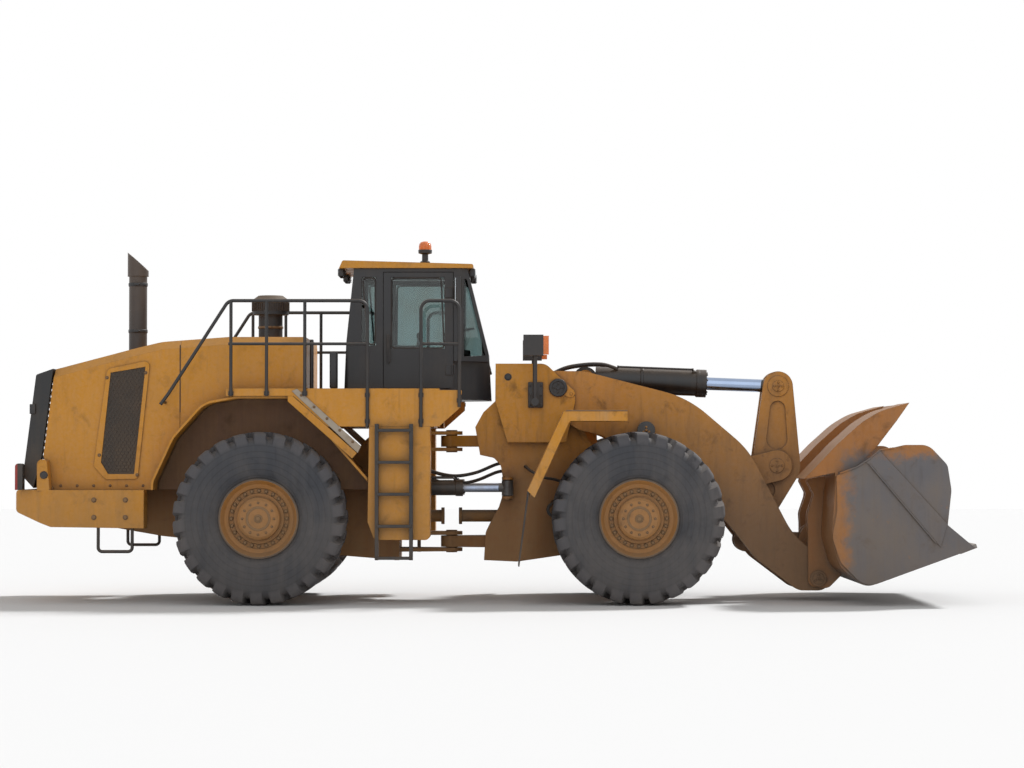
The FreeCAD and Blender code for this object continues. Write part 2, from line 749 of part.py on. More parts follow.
stack_x = rear - v.stack_reach
stack_foot = Spot(stack_x, -v.stack_side, engine_high)
stack_hole = rod(stack_foot, moved(stack_foot, 0, 0, 1000), v.stack_radius + 4)
keep("hood", cut(hood_block, hood_hollow, *wells, tail_opening, rail_notch, panel_seam, *mesh_holes,
                 stack_hole))

# Rear wheel arches: a band over each tyre, closed towards the engine, with a plate along its slope.
arch = cut(slab(inset(well_points, 1), -v.fender_side, -v.well_side),
           slab(inset(well_points, v.fender_gauge), -v.fender_side - 10, -v.well_side - v.hood_wall),
           box(rear - 3000, rear + 3000, -2000, 0, 0, hood_low),
           box(hinge - 985, hinge, -2000, 0, 0, 3000))
lip_low = v.deck_height - 92
slope_plate = slab([(-2383, lip_low), (-1609, 1826), (-1668, 1760), (-2444, 2448), (-2444, lip_low)],
                   -v.walkway_side, -v.fender_side)
keep("rear_fenders", *both(arch, slope_plate))

# Counterweight: one casting round the tail of the rails, with a lamp post at each corner and a
# towing pin in a recess of its tail.
weight_tail = rear - v.weight_tail_reach
weight_points = from_datum([
    (-1407, 917), (-1407, v.weight_top), (-v.weight_tail_reach, v.weight_top, 60),
    (-v.weight_tail_reach, 1117, 80), (-2528, 934, 60),
], rear)
weight_plan = [
    (rear - 1407, -v.weight_side), (rear - 1407, v.weight_side), (rear - 2650, v.weight_side, 120),
    (weight_tail, v.weight_side - 300, 120), (weight_tail, -v.weight_side + 300, 120),
    (rear - 2650, -v.weight_side, 120),
]
casting = common(slab(weight_points, -v.weight_side, v.weight_side), plan_slab(weight_plan, 800, 1500))
rail_pocket = box(rear - v.rail_tail_reach, rear, -v.hood_side + 100, v.hood_side - 100, 800, 1500)
tow_spot = Spot(weight_tail + 90, 0, 1180)
tow_recess = box(weight_tail - 10, weight_tail + 190, -110, 110, 1180, 1300)
tow_pin = rod(moved(tow_spot, 0, 0, -20), moved(tow_spot, 0, 0, 140), v.tow_pin_radius)
post_points = from_datum([(-2540, v.weight_top - 10), (-2580, 1748, 40), (-2696, 1748, 60),
                          (-2696, v.weight_top - 10)], rear)
post = slab(post_points, -v.weight_side, -v.hood_side - 6)
keep("counterweight", cut(casting, rail_pocket, tow_recess), tow_pin, *both(post))

# Tail lamps on the counterweight's top corners.
lamp_points = from_datum([(-2870, v.weight_top), (-2870, 1700, 30), (-2962, 1700, 40),
                          (-2962, v.weight_top)], rear)
keep("tail_lamps", *both(slab(lamp_points, -v.weight_side + 10, -v.weight_side + 170)))

# Rear grille: a hinged housing of louvres behind the radiator, with its hinge at the left.
grille_points = from_datum([(-2547, 2851), (-2754, 2778, 30), (-2911, 1540, 30), (-2782, 1400),
                            (-2682, 1785)], rear)
grille_low = 1400 + v.grille_frame * 2
grille_high = 2790 - v.grille_frame
grille_opening = box(rear - 3000, rear - 2400, -v.grille_side + v.grille_frame,
                     v.grille_side - v.grille_frame, grille_low, grille_high)
grille = [cut(slab(grille_points, -v.grille_side, v.grille_side), grille_opening)]
slat_count = int(float(v.slat_count))
for i in range(slat_count):
    share = (i + 0.5) / slat_count
    slat_z = grille_low + (grille_high - grille_low) * share
    slat_x = rear - 2894 + (slat_z - 1540) * (157 / 1238)
    slat = slab([(slat_x, slat_z - 32), (slat_x + 70, slat_z + 6), (slat_x + 70, slat_z + 16),
                 (slat_x, slat_z - 22)], -v.grille_side + v.grille_frame - 10,
                v.grille_side - v.grille_frame + 10)
    grille.append(slat)
grille_pin = Spot(rear - 2850, v.grille_side + 14, 0)
for low in (1700, 2300):
    grille.append(rod(moved(grille_pin, 0, 0, low), moved(grille_pin, 0, 0, low + 160), 18))
    grille.append(box(grille_pin.x, grille_pin.x + 190, v.grille_side, v.grille_side + 8, low, low + 160))
keep("rear_grille", *grille)
keep("radiator", box(rear - 2440, rear - 2300, -760, 760, v.rail_top, 2700))

# Side grilles: a framed mesh panel over the opening in each side of the hood's tail.
side_frame = from_datum([(-1884, 2846, 60), (-2046, 1668, 60), (-1900, 1504, 60), (-1511, 1511, 40),
                         (-1363, 2956, 60)], rear)
grille_face = v.hood_side + 22
panel = cut(slab(side_frame, -grille_face, -v.hood_side),
            slab(side_mesh, -grille_face - 10, -v.hood_side - 8),
            slab(side_mesh, -v.hood_side - 4, -v.hood_side + 10))
keep("side_grilles", *both(panel))

# Exhaust stack, from the engine's top through the hood, with a slanted tip and a wider sleeve.
stack_head = Spot(stack_x, -v.stack_side, v.stack_top)
sleeve_foot = moved(stack_head, 0, 0, -300)
tip_slant = slab([(stack_x - 400, v.stack_top + 241), (stack_x + 400, v.stack_top - 472),
                  (stack_x + 400, v.stack_top + 241)], -v.stack_side - 400, -v.stack_side + 400)
stack_bore = rod(moved(stack_foot, 0, 0, 60), moved(stack_head, 0, 0, 10), v.stack_radius - v.stack_wall)
stack = cut(joined([rod(stack_foot, stack_head, v.stack_radius),
                    rod(sleeve_foot, stack_head, v.stack_radius + 18)]), stack_bore, tip_slant)
keep("exhaust_stack", stack)

# Air cleaner: a dust bowl on its neck.
neck_foot = Spot(rear, 0, v.hood_top)
bowl_foot = Spot(rear, 0, v.cleaner_top - 241)
keep("air_precleaner", rod(neck_foot, bowl_foot, v.cleaner_neck_radius),
     rod(bowl_foot, moved(bowl_foot, 0, 0, 190), v.cleaner_radius),
     rod(moved(bowl_foot, 0, 0, 190), moved(bowl_foot, 0, 0, 241), v.cleaner_radius, v.cleaner_radius - 70))

# Walkways: a deck along the hood and the cab, with a deep skirt and a step before the cab.
deck_low = v.deck_height - v.walkway_gauge
skirt_inner = v.walkway_side - v.skirt_gauge
deck_front = hinge - 124
step_top = v.deck_height - 20
deck = plan_slab([
    (rear - 418, -v.walkway_side), (deck_front, -v.walkway_side), (deck_front, -v.cab_side - 12),
    (rear + 550, -v.cab_side - 12), (rear + 550, -v.hood_side - 2), (rear - 418, -v.hood_side - 2),
], deck_low, v.deck_height)
deck_lip = box(rear - 418, rear + 550, -v.walkway_side, -skirt_inner, v.deck_height - 92, deck_low)
skirt = slab([(rear + 810, v.skirt_low), (deck_front, v.skirt_low), (deck_front, deck_low),
              (rear + 366, deck_low), (rear + 366, v.skirt_low + 398)], -v.walkway_side, -skirt_inner)
riser = box(deck_front - v.skirt_gauge, deck_front, -v.walkway_side, -1000, v.skirt_low, v.deck_height)
front_step = box(deck_front, deck_front + 265, -v.walkway_side, -1000, step_top - v.walkway_gauge, step_top)
front_skirt = slab([(deck_front, v.skirt_low), (deck_front + 265, step_top - 204),
                    (deck_front + 265, step_top - 20), (deck_front, step_top - 20)],
                   -v.walkway_side, -skirt_inner)
brackets = [box(hinge + reach, hinge + reach + 100, -skirt_inner, -v.cab_side, deck_low - 159, deck_low)
            for reach in (-1290, -320)]
keep("walkways", *both(deck, deck_lip, skirt, riser, front_step, front_skirt, *brackets))

# Side tanks below the deck, on brackets from the frame rails.
tank_points = from_datum([(1309, v.skirt_low), (1292, 995), (1375, v.tank_bottom, 60)], rear)
tank_points += from_datum([(-232, v.tank_bottom, 60), (-232, v.skirt_low)], hinge)
tank_brackets = [box(rear + 1375, rear + 1525, -v.tank_inner_side, -frame_side, low, low + 100)
                 for low in (850, 1750)]
keep("side_tanks", *both(slab(tank_points, -v.walkway_side, -v.tank_inner_side), *tank_brackets))

# Platform under the cab, on the cross wall behind the hinge.
cab_back = hinge - v.cab_back_reach
cab_front = hinge + v.cab_front_reach
keep("cab_platform", box(cab_back, hinge - 202, -v.cab_side, v.cab_side, v.skirt_low, v.cab_floor - 2),
     box(bulkhead_back, bulkhead_front - 25, -frame_side, frame_side, v.bulkhead_top, v.skirt_low))

# Ladders: two stiles and their rungs a side, and a hanging step below each end of the
# counterweight.
ladder_top = v.skirt_low + 31
rung_count = int(float(v.rung_count))
ladder = []
for reach in (-870, -457):
    stile = hinge + reach
    ladder.append(box(stile - v.stile_gauge / 2, stile + v.stile_gauge / 2, -v.ladder_side - 40,
                      -v.ladder_side + 40, 540, ladder_top))
    for low in (1000, 1900):
        ladder.append(box(stile - 20, stile + 20, -v.ladder_side + 40, -v.walkway_side, low, low + 60))
for i in range(rung_count):
    low = (ladder_top - 640) * (i / (rung_count - 1)) + 545
    ladder.append(box(hinge - 870, hinge - 457, -v.ladder_side - 60, -v.ladder_side + 60, low, low + 36))
step_points = [(rear - 1962, 960), (rear - 1962, 637, 50), (rear - 1552, 637, 50), (rear - 1552, 960)]
hanging_step = cut(tube(step_points, -v.weight_side + 60, 20),
                   slab(weight_points, -v.weight_side, v.weight_side))
keep("ladders", *both(*ladder), *both(hanging_step))

# Handrails, clamped to the outside of the skirt: a hoop beside the door and a long rail by the
# hood.
rail_y = -v.walkway_side - v.rail_tube_radius - 2
hoop_back = hinge - 341
hoop_front = hinge + 120
long_front = hinge - 986
long_back = rear - 384


def clamp(x, low):
    return box(x - 30, x + 30, rail_y, -v.walkway_side, low, low + 50)


def rail_bar(start, end, height):
    return rod(Spot(start, rail_y, height), Spot(end, rail_y, height), v.rail_tube_radius - 3)


def rail_post(x):
    return rod(Spot(x, rail_y, v.deck_height - 92), Spot(x, rail_y, v.handrail_top), v.rail_tube_radius - 1)


hoop = tube([(hoop_back, v.skirt_low - 5), (hoop_back, v.handrail_top, v.rail_bend),
             (hoop_front, v.handrail_top, v.rail_bend), (hoop_front, step_top - 205)],
            rail_y, v.rail_tube_radius)
hoop_clamps = [clamp(hoop_back, v.skirt_low + 40), clamp(hoop_back, deck_low - 60),
               clamp(hoop_front, step_top - 150)]
long_rail = tube([(long_front, v.skirt_low - 5), (long_front, v.handrail_top, v.rail_bend),
                  (long_back, v.handrail_top, v.rail_bend), (rear - 1105, 2539, 80), (rear - 1201, 2409)],
                 rail_y, v.rail_tube_radius)
long_foot = cross_rod(Spot(rear - 1180, 0, 2440), v.rail_tube_radius - 4, rail_y, -v.hood_side)
long_clamps = [clamp(long_front, v.skirt_low + 40), clamp(long_front, deck_low - 60)]
post_places = (long_back + 30, rear + 75, rear + 535)
posts = [rail_post(x) for x in post_places]
post_clamps = [clamp(x, v.deck_height - 85) for x in post_places]
keep("handrails", *both(hoop, rail_bar(hoop_back, hoop_front, v.handrail_middle), *hoop_clamps),
     *both(long_rail, rail_bar(long_back, long_front, v.handrail_middle), long_foot, *long_clamps, *posts,
           *post_clamps))

# Cab shell: a hollow box with a faceted nose, cut for its doors and windows. Its lower front
# corners are cut back, so that the front frame can swing past them.
cab_points = [
    (cab_back, v.cab_floor), (cab_front, v.cab_floor), (cab_front - 32, v.cab_floor + 578),
    (cab_front - 290, v.cab_top), (cab_back + 124, v.cab_top), (cab_back + 29, v.cab_floor + 687),
]
cab_plan = [
    (cab_back, -v.cab_side, 60), (cab_front - 360, -v.cab_side), (cab_front, -v.cab_nose_side),
    (cab_front, v.cab_nose_side), (cab_front - 360, v.cab_side), (cab_back, v.cab_side, 60),
]


def cab_block(wall):
    """The cab's solid block, smaller by a wall on every side."""
    return common(slab(inset(cab_points, wall), -1000, 1000), plan_slab(inset(cab_plan, wall), 2000, 5000))


foot_high = v.cab_floor + 469
foot_cut = plan_slab([(hinge - 100, -1000), (cab_front + 10, -1000), (cab_front + 10, -390),
                      (hinge - 100, -v.cab_side)], v.cab_floor - 10, foot_high)
foot_wall = plan_slab([(hinge - 160, -1000), (cab_front + 10, -1000), (cab_front - 20, -350),
                       (hinge - 160, -v.cab_side)], v.cab_floor - 10, foot_high + v.cab_wall)
cab_hollow = cut(cab_block(v.cab_wall), *both(foot_wall))
door_front = hinge + 40
door_back = hinge - 825
door_low = v.deck_height + 10
door_high = v.cab_top - 45
outside = -v.cab_side - 150
corner_window = [(cab_front - 335, foot_high + 60), (cab_front - 72, foot_high + 80),
                 (cab_front - 300, v.cab_top - 132), (cab_front - 335, v.cab_top - 132)]


def openings(margin):
    """Blocks through the cab's windows, smaller by a margin all round."""
    screen = box(cab_front - 330, cab_front + 50, -v.cab_nose_side + 60 + margin,
                 v.cab_nose_side - 60 - margin, v.cab_floor + 560 + margin, v.cab_top - 80 - margin)
    back = box(cab_back - 50, cab_back + 180, -560 + margin, 560 - margin, v.cab_floor + 700 + margin,
               v.cab_top - 90 - margin)
    quarter = box(hinge - 1088 + margin, hinge - 911 - margin, outside, -v.cab_side + v.cab_wall + 20,
                  v.cab_floor + 663 + margin, v.cab_top - 110 - margin)
    corner = slab(inset(corner_window, margin) if margin else corner_window, outside, -590 - margin)
    return [screen, back, *both(quarter), *both(corner)]


door_hole = box(door_back, door_front, outside, -v.cab_side + v.cab_wall + 20, door_low, door_high)
keep("cab_shell", cut(cab_block(0), cab_hollow, *both(foot_cut), *both(door_hole), *openings(0)))

# Cab glass: each pane stands in its own hole.
glass_sheet = cut(cab_block(20), cab_block(v.glass_gauge + 20))
keep("cab_glass", *[common(glass_sheet, opening) for opening in openings(2)])

# Cab roof: a thin lid that overhangs the cab all round.
roof = slab([
    (cab_back - 57, v.cab_top), (cab_front - 230, v.cab_top),
    (cab_front - 191, v.cab_top + v.roof_gauge - 46, 25),
    (cab_back - 16, v.cab_top + v.roof_gauge, 30),
], -v.roof_side, v.roof_side)
keep("cab_roof", roof)

# Beacon on the roof.
beacon_foot = Spot(hinge - 327, -300, v.cab_top)
beacon_neck = moved(beacon_foot, 0, 0, 300)
keep("beacon", cut(joined([rod(beacon_foot, beacon_neck, 87),
                           rod(beacon_neck, moved(beacon_neck, 0, 0, 75), 87, 45)]), roof))

# Mirrors on arms from the cab's front corners.
mirror_arms = [cross_rod(Spot(hinge + 93, 0, height), 14, -900, -v.cab_side) for height in (3680, 3920)]
keep("mirrors", *both(box(hinge + 73, hinge + 128, -1100, -900, 3620, 3980), *mirror_arms))

# Doors: a steel frame as thick as the wall, with its pane, its grip and two hinge barrels.
pane_low = v.cab_floor + 624
pane_back = door_back + 96
pane_front = door_front - 110
pane_high = door_high - v.door_gap - 60
door_skin = -v.cab_side + v.cab_wall
door_axis = Spot(hinge + 20, -v.cab_side - 12, v.cab_floor)
door = [cut(box(door_back + v.door_gap, door_front - v.door_gap, -v.cab_side, door_skin,
                door_low + v.door_gap, door_high - v.door_gap),
            box(pane_back, pane_front, outside, 0, pane_low, pane_high))]
for rise in (300, 1250):
    hinge_foot = moved(door_axis, 0, 0, rise)
    door.append(rod(hinge_foot, moved(hinge_foot, 0, 0, 120), 12))
    door.append(box(hinge - 60, hinge + 20, -v.cab_side - 12, -v.cab_side, hinge_foot.z,
                    hinge_foot.z + 120))
grip_ends = [box(door_back + 60, door_back + 84, -v.cab_side - 55, -v.cab_side, low, low + 24)
             for low in (v.cab_floor + 460, v.cab_floor + 760)]
grip = box(door_back + 60, door_back + 84, -v.cab_side - 55, -v.cab_side - 35, v.cab_floor + 460,
           v.cab_floor + 784)
right_door = joined(door + grip_ends + [grip])
right_pane = box(pane_back + 2, pane_front - 2, -v.cab_side + 20, -v.cab_side + 20 + v.glass_gauge,
                 pane_low + 2, pane_high - 2)
for label, shape in (("cab_door", right_door), ("door_glass", right_pane)):
    keep(f"{label}_right", shape)
    keep(f"{label}_left", mirrored(shape))

# Driver's seat, and the steering column with its wheel.
seat = hinge - 560
seat_high = v.cab_floor + 480
keep("driver_seat", box(seat - 180, seat + 180, -180, 180, v.cab_floor + v.cab_wall, seat_high),
     box(seat - 260, seat + 260, -250, 250, seat_high, seat_high + 120),
     slab([(seat - 330, seat_high + 40), (seat - 200, seat_high + 40), (seat - 270, seat_high + 820, 40),
           (seat - 390, seat_high + 820, 40)], -240, 240))
column_foot = Spot(cab_front - 250, 0, v.cab_floor + v.cab_wall)
column_head = Spot(cab_front - 420, 0, v.cab_floor + 880)
wheel_foot = toward(column_head, column_foot, 20)
keep("steering_column",
     box(cab_front - 330, cab_front - 190, -90, 90, v.cab_floor + v.cab_wall, v.cab_floor + 260),
     rod(toward(column_foot, column_head, 30), column_head, 45),
     cut(rod(wheel_foot, column_head, 200), rod(toward(column_head, column_foot, 30),
                                                toward(column_head, column_foot, -10), 168)),
     cross_rod(toward(column_head, column_foot, 10), 9, -190, 190))

# Front frame: two deep side plates down to the axle, two outer plates round the boom's pivot,
# cross walls, the hinge tongues, and the pins of the boom, the lift and the steering cylinders.
front_points = from_datum([
    (552, v.tower_top), (548, 2470), (400, 2330), (300, 2147), (360, 1802), (532, 1765, 60),
    (617, 1671, 80), (642, 1506), (642, 1312), (588, 1142), (494, 976), (428, 840), (408, 501),
    (817, 482, 100),
], hinge)
front_points += from_datum([(-375, 640, 200), (545, 800, 80), (545, 1150, 80), (405, 1380, 200)], front)
front_points += from_datum([(1700, 1950, 300), (1560, 2500, 300), (1170, v.tower_top, 150)], hinge)
tower_points = from_datum([
    (552, v.tower_top), (548, 2470), (700, 1960), (1420, 1960), (1560, 2560, 240), (1170, v.tower_top, 150),
], hinge)
front_centre = Spot(front, 0, axle_height)
plate_high = v.plate_side + v.tower_gauge
tower_high = v.tower_side + v.tower_gauge
tie_spot = Spot(front + 415, 0, 1000)
side_plate = cut(slab(front_points, -plate_high, -v.plate_side),
                 cross_rod(front_centre, v.axle_tube_radius + 1, -900, 900),
                 cross_rod(tie_spot, v.tie_down_radius, -900, 900))
tower_plate = slab(tower_points, -tower_high, -v.tower_side)
shelf = box(hinge + 700, hinge + 1390, -tower_high, -v.plate_side, 1960, 2000)
boom_pin_round = cross_rod(boom_pin, v.boom_pin_radius, -tower_high - 12, -v.plate_side + 20)
boom_cap = cross_rod(boom_pin, v.boom_pin_radius + 35, -tower_high - 22, -tower_high)
lift_round = cross_rod(lift_base, v.lift_pin_radius, -v.lift_side - 92, -v.plate_side)
tilt_ear = strap(tilt_base, 110, Spot(tilt_base.x, 0, Size(1900, "1900")), 150, -150, -90)
front_frame = both(side_plate, tower_plate, shelf, boom_pin_round, boom_cap, lift_round, tilt_ear)
front_frame += [
    box(hinge + 760, hinge + 800, -v.plate_side, v.plate_side, 1150, 2400),
    box(front + 465, front + 505, -v.plate_side, v.plate_side, 820, 1150),
    box(hinge + 1250, hinge + 2000, -v.plate_side, v.plate_side, 1880, 1920),
    cross_rod(tilt_base, v.arm_pin_radius, -170, 170),
]
tongue_hole = rod(Spot(hinge, 0, v.lower_hinge_height - 200), Spot(hinge, 0, v.upper_hinge_height + 200),
                  v.hinge_pin_radius + v.pin_gap)
for height in hinge_heights:
    tongue = joined(hinge_plate(height, v.tongue_gauge, 800, v.plate_side + 10))
    front_frame.append(cut(tongue, tongue_hole))
front_frame += steering_clevis(steer_eye, plate_high)
keep("front_frame", *front_frame)

# Front fenders: a bent sheet with folded edges on an arm, and a rubber flap hung from its slope.
fender_high = v.fender_top
fender_points = from_datum([
    (-136, fender_high), (-896, fender_high, 60), (-1336, 1373), (-1250, 1290),
    (-830, fender_high - v.fender_lip, 40), (-136, fender_high - v.fender_lip),
], front)
fender_inside = from_datum([
    (-124, fender_high - 12), (-888, fender_high - 12, 50), (-1330, 1340), (-1250, 1200),
    (-700, fender_high - v.fender_lip - 80), (-124, fender_high - v.fender_lip - 80),
], front)
fender = cut(slab(fender_points, -v.fender_outer, -v.fender_inner),
             slab(fender_inside, -v.fender_outer + 12, -v.fender_inner - 12))
fender_arm = cross_rod(Spot(front - 858, 0, fender_high - 70), 45, -v.fender_outer + 6, -tower_high)
keep("front_fenders", *both(fender, fender_arm))
flap_points = from_datum([(-1330, 1384), (-1447, 471), (-1431, 469), (-1312, 1384)], front)
flap = cut(slab(flap_points, -v.fender_outer, -v.fender_inner),
           slab(fender_points, -v.fender_outer - 10, -v.fender_inner + 10))
keep("mud_flaps", *both(flap))

# Headlamps on posts from the outer plates, with amber lamps beside them.
lamp = Spot(hinge + 1016, -890, 3144)
lamp_box = box(lamp.x - 122, lamp.x + 122, -980, -800, 3016, 3272)
lamp_post = rod(Spot(lamp.x + 20, -890, 2400), Spot(lamp.x + 20, -890, 3030), 28)
lamp_arm = cross_rod(Spot(lamp.x + 20, 0, 2450), 50, -950, -tower_high)
keep("headlamps", *both(lamp_box, lamp_post, lamp_arm))
keep("turn_lamps", *both(box(lamp.x + 122, lamp.x + 189, -970, -810, 3030, 3258)))

# Boom: two deep side plates joined by a cross tube that carries the lever's lugs.
boom_points = from_datum([
    (-215, -240, 190), (260, -520, 160), (560, -590, 300), (2070, -1640, 500), (2430, -2100, 300),
    (2960, -2500, 200), (v.boom_reach + 152, -v.boom_drop - 152, 150),
    (v.boom_reach + 152, -v.boom_drop + 152, 150),
    (2890, -1800, 900), (2350, -760, 1100), (1600, -120, 1300), (330, 205, 300), (-215, 215, 190),
], boom_pin.x, boom_pin.z)
boom_high = v.boom_side + v.boom_gauge
boom_bore = cross_rod(boom_pin, v.boom_pin_radius + v.pin_gap, -900, 0)
lift_boss = cross_rod(lift_eye, 95, -v.lift_side + 72, -boom_high)
boom_plate = cut(joined([slab(boom_points, -boom_high, -v.boom_side), lift_boss]), boom_bore)
cross_centre = moved(boom_pin, 2120, 0, -1110)
lever_clear = v.lever_plate_side + v.lever_gauge
lug_low = lever_clear + 8
boom_lug = strap(cross_centre, 190, lever_pin, 190, -lug_low - 70, -lug_low)
tip_round = cross_rod(bucket_pin, v.arm_pin_radius, -boom_high - 90, -v.boom_side + 90)
tip_cap = cross_rod(bucket_pin, v.arm_pin_radius + 30, -boom_high - 84, -boom_high - 72)
keep("boom", *both(boom_plate, boom_lug, tip_round, tip_cap),
     cross_rod(cross_centre, 150, -v.boom_side, v.boom_side),
     cross_rod(lever_pin, v.arm_pin_radius + 20, -lug_low - 85, lug_low + 85))

# Tilt lever: two plates on one hub, forked at both ends, with lightening pockets outside.
lever_bore = cross_rod(lever_pin, v.arm_pin_radius + 20 + v.pin_gap, -500, 500)
lever_arms = [strap(lever_pin, 300, lever_upper, 185, -lever_clear, -v.lever_plate_side),
              strap(lever_pin, 300, lever_lower, 145, -lever_clear, -v.lever_plate_side)]
pocket_top = strap(toward(lever_pin, lever_upper, 330), 130, toward(lever_upper, lever_pin, 280), 95,
                   -lever_clear - 10, -lever_clear + 25)
pocket_low = strap(toward(lever_pin, lever_lower, 330), 110, toward(lever_lower, lever_pin, 260), 85,
                   -lever_clear - 10, -lever_clear + 25)
lever_plate = cut(joined(lever_arms), pocket_top, pocket_low)
lever_hub = cross_rod(lever_pin, 230, -v.lever_plate_side, v.lever_plate_side)
upper_stub = cross_rod(lever_upper, v.arm_pin_radius, -lever_clear - 25, -v.lever_plate_side)
upper_collar = cross_rod(lever_upper, 130, -lever_clear - 14, -lever_clear)
lower_stub = cross_rod(lever_lower, v.link_pin_radius, -lever_clear - 6, -v.lever_plate_side)
lever_whole = cut(joined(both(lever_plate) + [lever_hub]), lever_bore)
keep("tilt_lever", lever_whole, *both(upper_stub, upper_collar, lower_stub))

# Tilt link, from the bucket's upper pin back to the lever's lower end.
link_half = v.lever_plate_side - 12
link = strap(lever_lower, 125, bucket_upper, 125.5, -link_half, link_half)
keep("tilt_link", cut(link, cross_rod(bucket_upper, v.link_pin_radius + v.pin_gap, -200, 200)))

# Bucket: a curved shell between two side plates, with wear bands, a spill guard and hinge ears.
side_points = from_datum([
    (424, -61, 250), (1731, 414), (1404, 688), (1450, 1100, 300), (1404, 1401, 120), (1180, 1640, 200),
    (900, 1640, 200), (590, 1568, 60), (447, 1449, 60), (293, 1365, 60), (82, 1274, 30), (91, 860, 300),
    (30, 542, 300), (131, 238, 200),
], bucket_pin.x, bucket_pin.z)
bucket_plate = slab(side_points, -v.bucket_side, -v.bucket_side + v.bucket_side_gauge)
wear_points = from_datum([(436, 1437), (1316, 426), (1399, 700), (591, 1579)], bucket_pin.x, bucket_pin.z)
wear_band = slab(wear_points, -v.bucket_side - v.wear_gauge, -v.bucket_side)
shell_points = from_datum([
    (82, 1274), (30, 542, 500), (131, 180, 250), (424, -61, 200), (1731, 414), (1720, 455), (440, -8, 160),
    (170, 215, 220), (72, 545, 460), (124, 1274),
], bucket_pin.x, bucket_pin.z)
shell_side = v.bucket_side - v.bucket_side_gauge
shell = slab(shell_points, -shell_side, shell_side)

guard_side = v.bucket_side - v.guard_inset
guard_curve = [(-289, 1233), (-169, 1353, 600), (120, 1656, 900), (408, 1914, 900), (631, 2048, 700),
               (975, 2145)]
guard_front = [(823, 1929, 900), (565, 1592, 900), (311, 1353)]
inner_curve = [(x + v.guard_gauge * 0.7, z - v.guard_gauge * 0.7, *radius) for x, z, *radius in guard_curve]
guard_face = from_datum(guard_curve + guard_front, bucket_pin.x, bucket_pin.z)
guard_room = from_datum(inner_curve + [(1500, 1900), (500, 1000), (-100, 1000)], bucket_pin.x, bucket_pin.z)
guard = cut(slab(guard_face, -guard_side, -v.guard_notch_side),
            slab(guard_room, -guard_side + v.guard_gauge, -v.guard_notch_side - v.guard_gauge))
guard_foot = slab(from_datum([(82, 1262), (124, 1262), (124, 1645), (82, 1603)], bucket_pin.x, bucket_pin.z),
                  -guard_side, -v.guard_notch_side)
dish_spot = moved(bucket_pin, 28, 0, 1467)
dish_hollow = cross_rod(dish_spot, 362, -v.guard_notch_side, v.guard_notch_side)
dish_fan = slab(from_datum([(28, 1467), (88, 1050), (460, 1050), (460, 1470)], bucket_pin.x, bucket_pin.z),
                -v.guard_notch_side, v.guard_notch_side)
dish_ring = cut(cross_rod(dish_spot, 387, -v.guard_notch_side, v.guard_notch_side), dish_hollow)
guard_middle = slab(from_datum([
    (82, 1262), (124, 1262), (320, 1344), (574, 1583, 900), (832, 1920, 900), (985, 2119), (967, 2137),
    (814, 1938, 900), (556, 1601, 900), (302, 1362),
], bucket_pin.x, bucket_pin.z), -v.guard_notch_side - 14, v.guard_notch_side + 14)
ear_points = from_datum([
    (-125, -95, 90), (120, -125, 110), (300, 55), (150, 190, 240), (52, 543, 500), (100, 1262),
    (-149, 1223, 40), (-51, 1031, 60), (-134, 784, 200), (-125, 668, 200),
], bucket_pin.x, bucket_pin.z)
pin_bore = cross_rod(bucket_pin, v.arm_pin_radius + v.pin_gap, -900, 0)
ears = [cut(slab(ear_points, -side - v.ear_gauge, -side), pin_bore)
        for side in (v.boom_side - v.ear_gap - v.ear_gauge, boom_high + v.ear_gap)]
upper_points = from_datum([(-235, 420, 100), (-120, 300, 80), (70, 260), (70, 542), (60, 760),
                           (-150, 600, 60)], bucket_pin.x, bucket_pin.z)
upper_ear = slab(upper_points, -v.lever_plate_side - 60, -v.lever_plate_side)
upper_round = cross_rod(bucket_upper, v.link_pin_radius, -v.lever_plate_side - 85, v.lever_plate_side + 85)
bucket_sides = both(bucket_plate, wear_band, guard, guard_foot, *ears, upper_ear)
dished = cut(joined([shell, guard_middle]), dish_hollow)
bucket = joined([*bucket_sides, dished, common(dish_ring, dish_fan), upper_round], refine=False)
keep("bucket", bucket)
edge_points = from_datum([(1560, 344), (1752, 418), (1752, 424), (1740, 464), (1560, 398)],
                         bucket_pin.x, bucket_pin.z)
keep("cutting_edge", cut(slab(edge_points, -v.bucket_side, v.bucket_side), bucket))


def barrel(base, eye, start, length, radius, rod_radius, half, pin_radius):
    """A cylinder's barrel from its base pin towards the rod's eye, with its own bore."""
    mouth = toward(base, eye, length)
    head = cross_rod(base, radius * 0.95, base.y - half, base.y + half)
    body = rod(toward(base, eye, start), mouth, radius)
    gland = rod(toward(base, eye, length - 120), mouth, radius + 14)
    pin_bore = cross_rod(base, pin_radius + v.pin_gap, base.y - 400, base.y + 400)
    return cut(joined([head, body, gland]), pin_bore,
               rod(toward(base, eye, radius + 60), toward(base, eye, length + 5), rod_radius + 3))


def piston(base, eye, start, radius, eye_radius, half):
    """A rod from inside the barrel to its eye, which carries its own length of pin."""
    shaft = rod(toward(base, eye, start), toward(eye, base, eye_radius * 0.8), radius)
    return joined([shaft, cross_rod(eye, eye_radius, eye.y - half, eye.y + half)])


# Tilt cylinder on the middle plane.
tilt_length = span(tilt_base, lever_upper) - v.tilt_rod_shown
keep("tilt_barrel", barrel(tilt_base, lever_upper, 130, tilt_length, v.tilt_barrel_radius,
                           v.tilt_rod_radius, v.tilt_eye_side, v.arm_pin_radius))
keep("tilt_rod", piston(tilt_base, lever_upper, tilt_length - 560, v.tilt_rod_radius, 150, v.tilt_eye_side))

